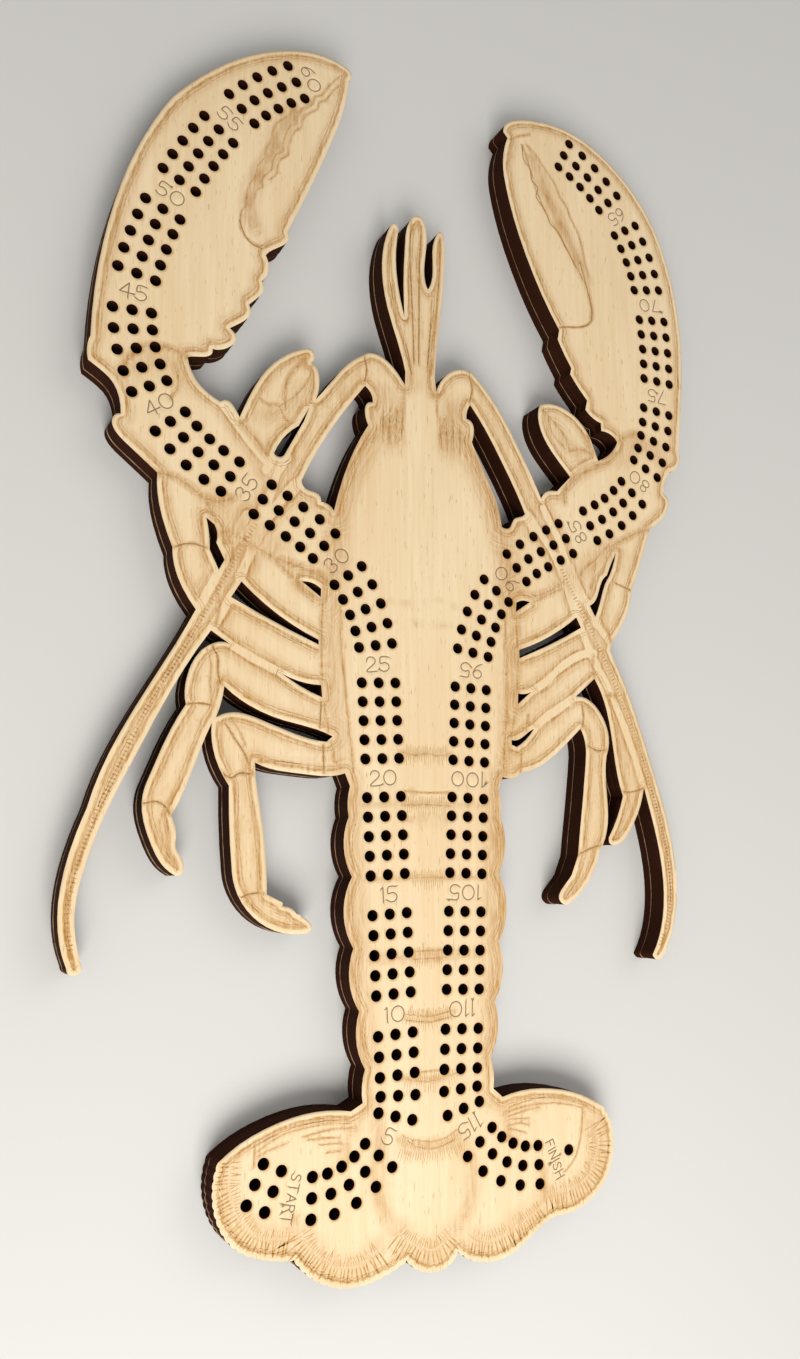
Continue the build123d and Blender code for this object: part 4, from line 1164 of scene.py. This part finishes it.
antennae = [
    (-53.2, 41.5, -57.5, 33, -62, 24.6, -66.3, 16.5, -73, 4.5, -81, -9.5, -88, -25, -94.2, -39.5,
     -98.5, -52, -100.6, -64, -99.6, -73),
    (48.5, 40, 52.5, 32, 58, 22.5, 62.5, 14, 68.5, 2, 74, -11, 79, -24.5, 83, -38, 86, -50, 87, -62,
     85.5, -72, 82, -79.5),
]
burntStrokes("antenna_beads", drawnPaths(antennae, room=0.3),
             spacing=1.1, length=2.0, width=0.4, start=0.0, wander=8, seed=7)

# long strokes that run just inside every edge, as the shading was drawn
edgeRows = {
    "insets": (1.75, 2.6),     # millimetres in from the edge
    "spacing": 0.9,            # between a row's points
    "room": 1.3,               # to any edge or hole
    "ownEdge": 0.95,           # share of its inset that a row's point keeps from any edge
}
edgePaths = []
for loop in edgeOnly:
    line = straightLine(loop + loop[:1], edgeRows["spacing"])
    for side in (-1, 1):
        for inset in edgeRows["insets"]:
            # one side of the loop is off the board, and narrow limbs have no room for a row
            nearest = inset * edgeRows["ownEdge"]
            row = [p if distanceTo(edgeTree, *p) > nearest else None for p in beside(line, side * inset)]
            edgePaths += clearParts(row, edgeRows["room"], 4)
burntStrokes("edge_strokes", edgePaths,
             spacing=1.7, length=3.4, width=0.16, start=0.0, angle=0, wander=9, seed=8)
narrowShade = 2.7              # broader shading than this has no strokes along it
limbStrokes = [run for run, reach in softLines if reach < narrowShade]
burntStrokes("limb_strokes", drawnPaths(limbStrokes, room=1.0),
             spacing=1.2, length=2.4, width=0.16, start=0.0, angle=0, wander=22, seed=9)
sockets = [
    (-14.2, 76.8, -10.5, 77, -6.6, 77.6),
    (5.6, 77.4, 9.5, 77, 13.8, 76.4),
]
burntStrokes("socket_hatching", drawnPaths(sockets, room=0.3),
             spacing=0.5, length=8.5, width=0.26, start=0.0, wander=5, seed=10)

# the two plain layers and the hatch
glueUp = {
    "shiftX": -0.2,            # the lowest layer is glued a trace out of line
    "shiftY": -0.17,
    "hatchMarginX": 6.0,       # round the hatch it stays put, so that the hatch still slides
    "hatchMarginY": 2.0,
}
middleSkin = mergedCopy(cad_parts["middle_board"])
paintSides(middleSkin)
middleLayer = boardObject("middle_layer", middleSkin, [plainFinish, charFinish])
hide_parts("middle_board")
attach(middleLayer, "board")

bottomSkin = mergedCopy(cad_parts["bottom_board"])
hatchLow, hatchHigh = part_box("store_hatch")
marginX, marginY = glueUp["hatchMarginX"] * mm, glueUp["hatchMarginY"] * mm
onEdge = 0.05                  # millimetres, for a corner of the board's own outline
for v in bottomSkin.verts:
    nearHatch = (hatchLow.x - marginX < v.co.x < hatchHigh.x + marginX
                 and hatchLow.y - marginY < v.co.y < hatchHigh.y + marginY)
    if not nearHatch or distanceTo(edgeTree, v.co.x / mm, v.co.y / mm) < onEdge:
        v.co.x += glueUp["shiftX"] * mm
        v.co.y += glueUp["shiftY"] * mm
paintSides(bottomSkin)
# the lowest layer's up-facing veneer gets smoke stain and painted shade of the crease under the middle layer
for face in bottomSkin.faces:
    if face.normal.z > wallSlope:
        face.material_index = 2
bottomLayer = boardObject("bottom_layer", bottomSkin, [plainFinish, charFinish, smokeAndShadeFinish])
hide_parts("bottom_board")
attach(bottomLayer, "board")

hatchSkin = mergedCopy(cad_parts["store_hatch"])
paintSides(hatchSkin)
hatchPanel = boardObject("hatch_panel", hatchSkin, [plainFinish, charFinish])
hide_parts("store_hatch")
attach(hatchPanel, "hatch")
print("layers and hatch made")

# magnets and pegs keep their CAD shape
magnets = {
    "colour": "#cfcac0",
    "smoothest": 0.18,
    "roughest": 0.36,
}


def nickelPlate():
    # neodymium disc with bright nickel plating, tumbled, so faintly uneven
    material, tree = newMaterial("bright nickel plating")
    where = addNode(tree, "ShaderNodeTexCoord").outputs["Object"]
    patch = addNode(tree, "ShaderNodeTexNoise", {"Vector": where, "Scale": 1500.0, "Detail": 3.0})
    rough = addNode(tree, "ShaderNodeMapRange", {
        "Value": patch, "To Min": magnets["smoothest"], "To Max": magnets["roughest"]})
    bump = addNode(tree, "ShaderNodeBump", {"Strength": 0.1, "Distance": 0.00005, "Height": patch})
    shader = addNode(tree, "ShaderNodeBsdfPrincipled", {
        "Base Color": linear(magnets["colour"]), "Metallic": 1.0, "Roughness": rough,
        "Normal": bump})
    finishMaterial(tree, shader)
    return material


pegPlastic = {"red": "#b3262a", "green": "#2c7a3f", "blue": "#24519a"}


def mouldedPolystyrene(name, code):
    # glossy injection-moulded polystyrene with faint flow marks
    material, tree = newMaterial(name + " moulded polystyrene")
    where = addNode(tree, "ShaderNodeTexCoord").outputs["Object"]
    flowAt = addNode(tree, "ShaderNodeMapping", {"Vector": where, "Scale": (900.0, 120.0, 900.0)})
    flow = addNode(tree, "ShaderNodeTexNoise", {"Vector": flowAt, "Scale": 1.0, "Detail": 2.0})
    gain = addNode(tree, "ShaderNodeMapRange", {"Value": flow, "To Min": 0.85, "To Max": 1.12})
    tint = addNode(tree, "ShaderNodeHueSaturation", {"Color": linear(code), "Value": gain})
    rough = addNode(tree, "ShaderNodeMapRange", {"Value": flow, "To Min": 0.22, "To Max": 0.34})
    shader = addNode(tree, "ShaderNodeBsdfPrincipled", {
        "Base Color": tint, "Roughness": rough, "IOR": 1.59})
    finishMaterial(tree, shader)
    return material


nickelFinish = nickelPlate()
for name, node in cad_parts.items():
    if "magnet" in name:
        node.material_slots[0].material = nickelFinish
for colour, code in pegPlastic.items():
    finish = mouldedPolystyrene(colour, code)
    for name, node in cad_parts.items():
        if name.startswith("peg_" + colour):
            node.material_slots[0].material = finish

# floor, light and camera
studio = {
    "floor": "#d9d6d0",
    "world": "#ffffff",
    "worldStrength": 0.385,
    "keyPlace": (-0.12, -0.5, 0.52),
    "keySize": 0.45,
    "keyPower": 4.6,
    "fillPlace": (0.45, 0.3, 0.6),
    "fillSize": 0.6,
    "fillPower": 1.0,
    "aim": (0, -0.03, 0),      # what both lights face
    "floorHalf": 3.0,          # metres
    "floorDrop": 5e-5,         # below the board, so that the two faces don't meet
}
floorMesh = bpy.data.meshes.new("floor")
half = studio["floorHalf"]
corners = [(-half, -half), (half, -half), (half, half), (-half, half)]
floorMesh.from_pydata([(x, y, -studio["floorDrop"]) for x, y in corners], [], [(0, 1, 2, 3)])
floor = placeInScene("floor", floorMesh)
floorFinish, tree = newMaterial("matt white paper")
paper = addNode(tree, "ShaderNodeBsdfPrincipled", {"Base Color": linear(studio["floor"]), "Roughness": 0.9})
finishMaterial(tree, paper)
floorMesh.materials.append(floorFinish)

world = bpy.data.worlds.new("studio")
bpy.context.scene.world = world
world.use_nodes = True
background = world.node_tree.nodes["Background"]
background.inputs["Color"].default_value = linear(studio["world"])
background.inputs["Strength"].default_value = studio["worldStrength"]


def softLight(name, place, size, power):
    lamp = bpy.data.lights.new(name, "AREA")
    lamp.size = size
    lamp.energy = power
    made = placeInScene(name, lamp)
    made.location = place
    made.rotation_euler = (Vector(studio["aim"]) - Vector(place)).to_track_quat("-Z", "Y").to_euler()


softLight("key", studio["keyPlace"], studio["keySize"], studio["keyPower"])
softLight("fill", studio["fillPlace"], studio["fillSize"], studio["fillPower"])

view = {
    "place": (-0.14607, -0.06220, 0.30204),
    "right": (0.9041, -0.0069, 0.4274),
    "down": (0.0561, -0.9893, -0.1345),
    "ahead": (0.4237, 0.1456, -0.8940),
    "lens": 29.81,
}
cameraData = bpy.data.cameras.new("camera")
cameraData.lens = view["lens"]
cameraData.sensor_width = 36.0
cameraData.clip_start = 0.01
camera = placeInScene("camera", cameraData)
turn = Matrix((view["right"], [-c for c in view["down"]], [-c for c in view["ahead"]])).transposed()
camera.matrix_world = Matrix.Translation(view["place"]) @ turn.to_4x4()
bpy.context.scene.camera = camera
bpy.context.scene.view_settings.view_transform = "Standard"
print("studio set")
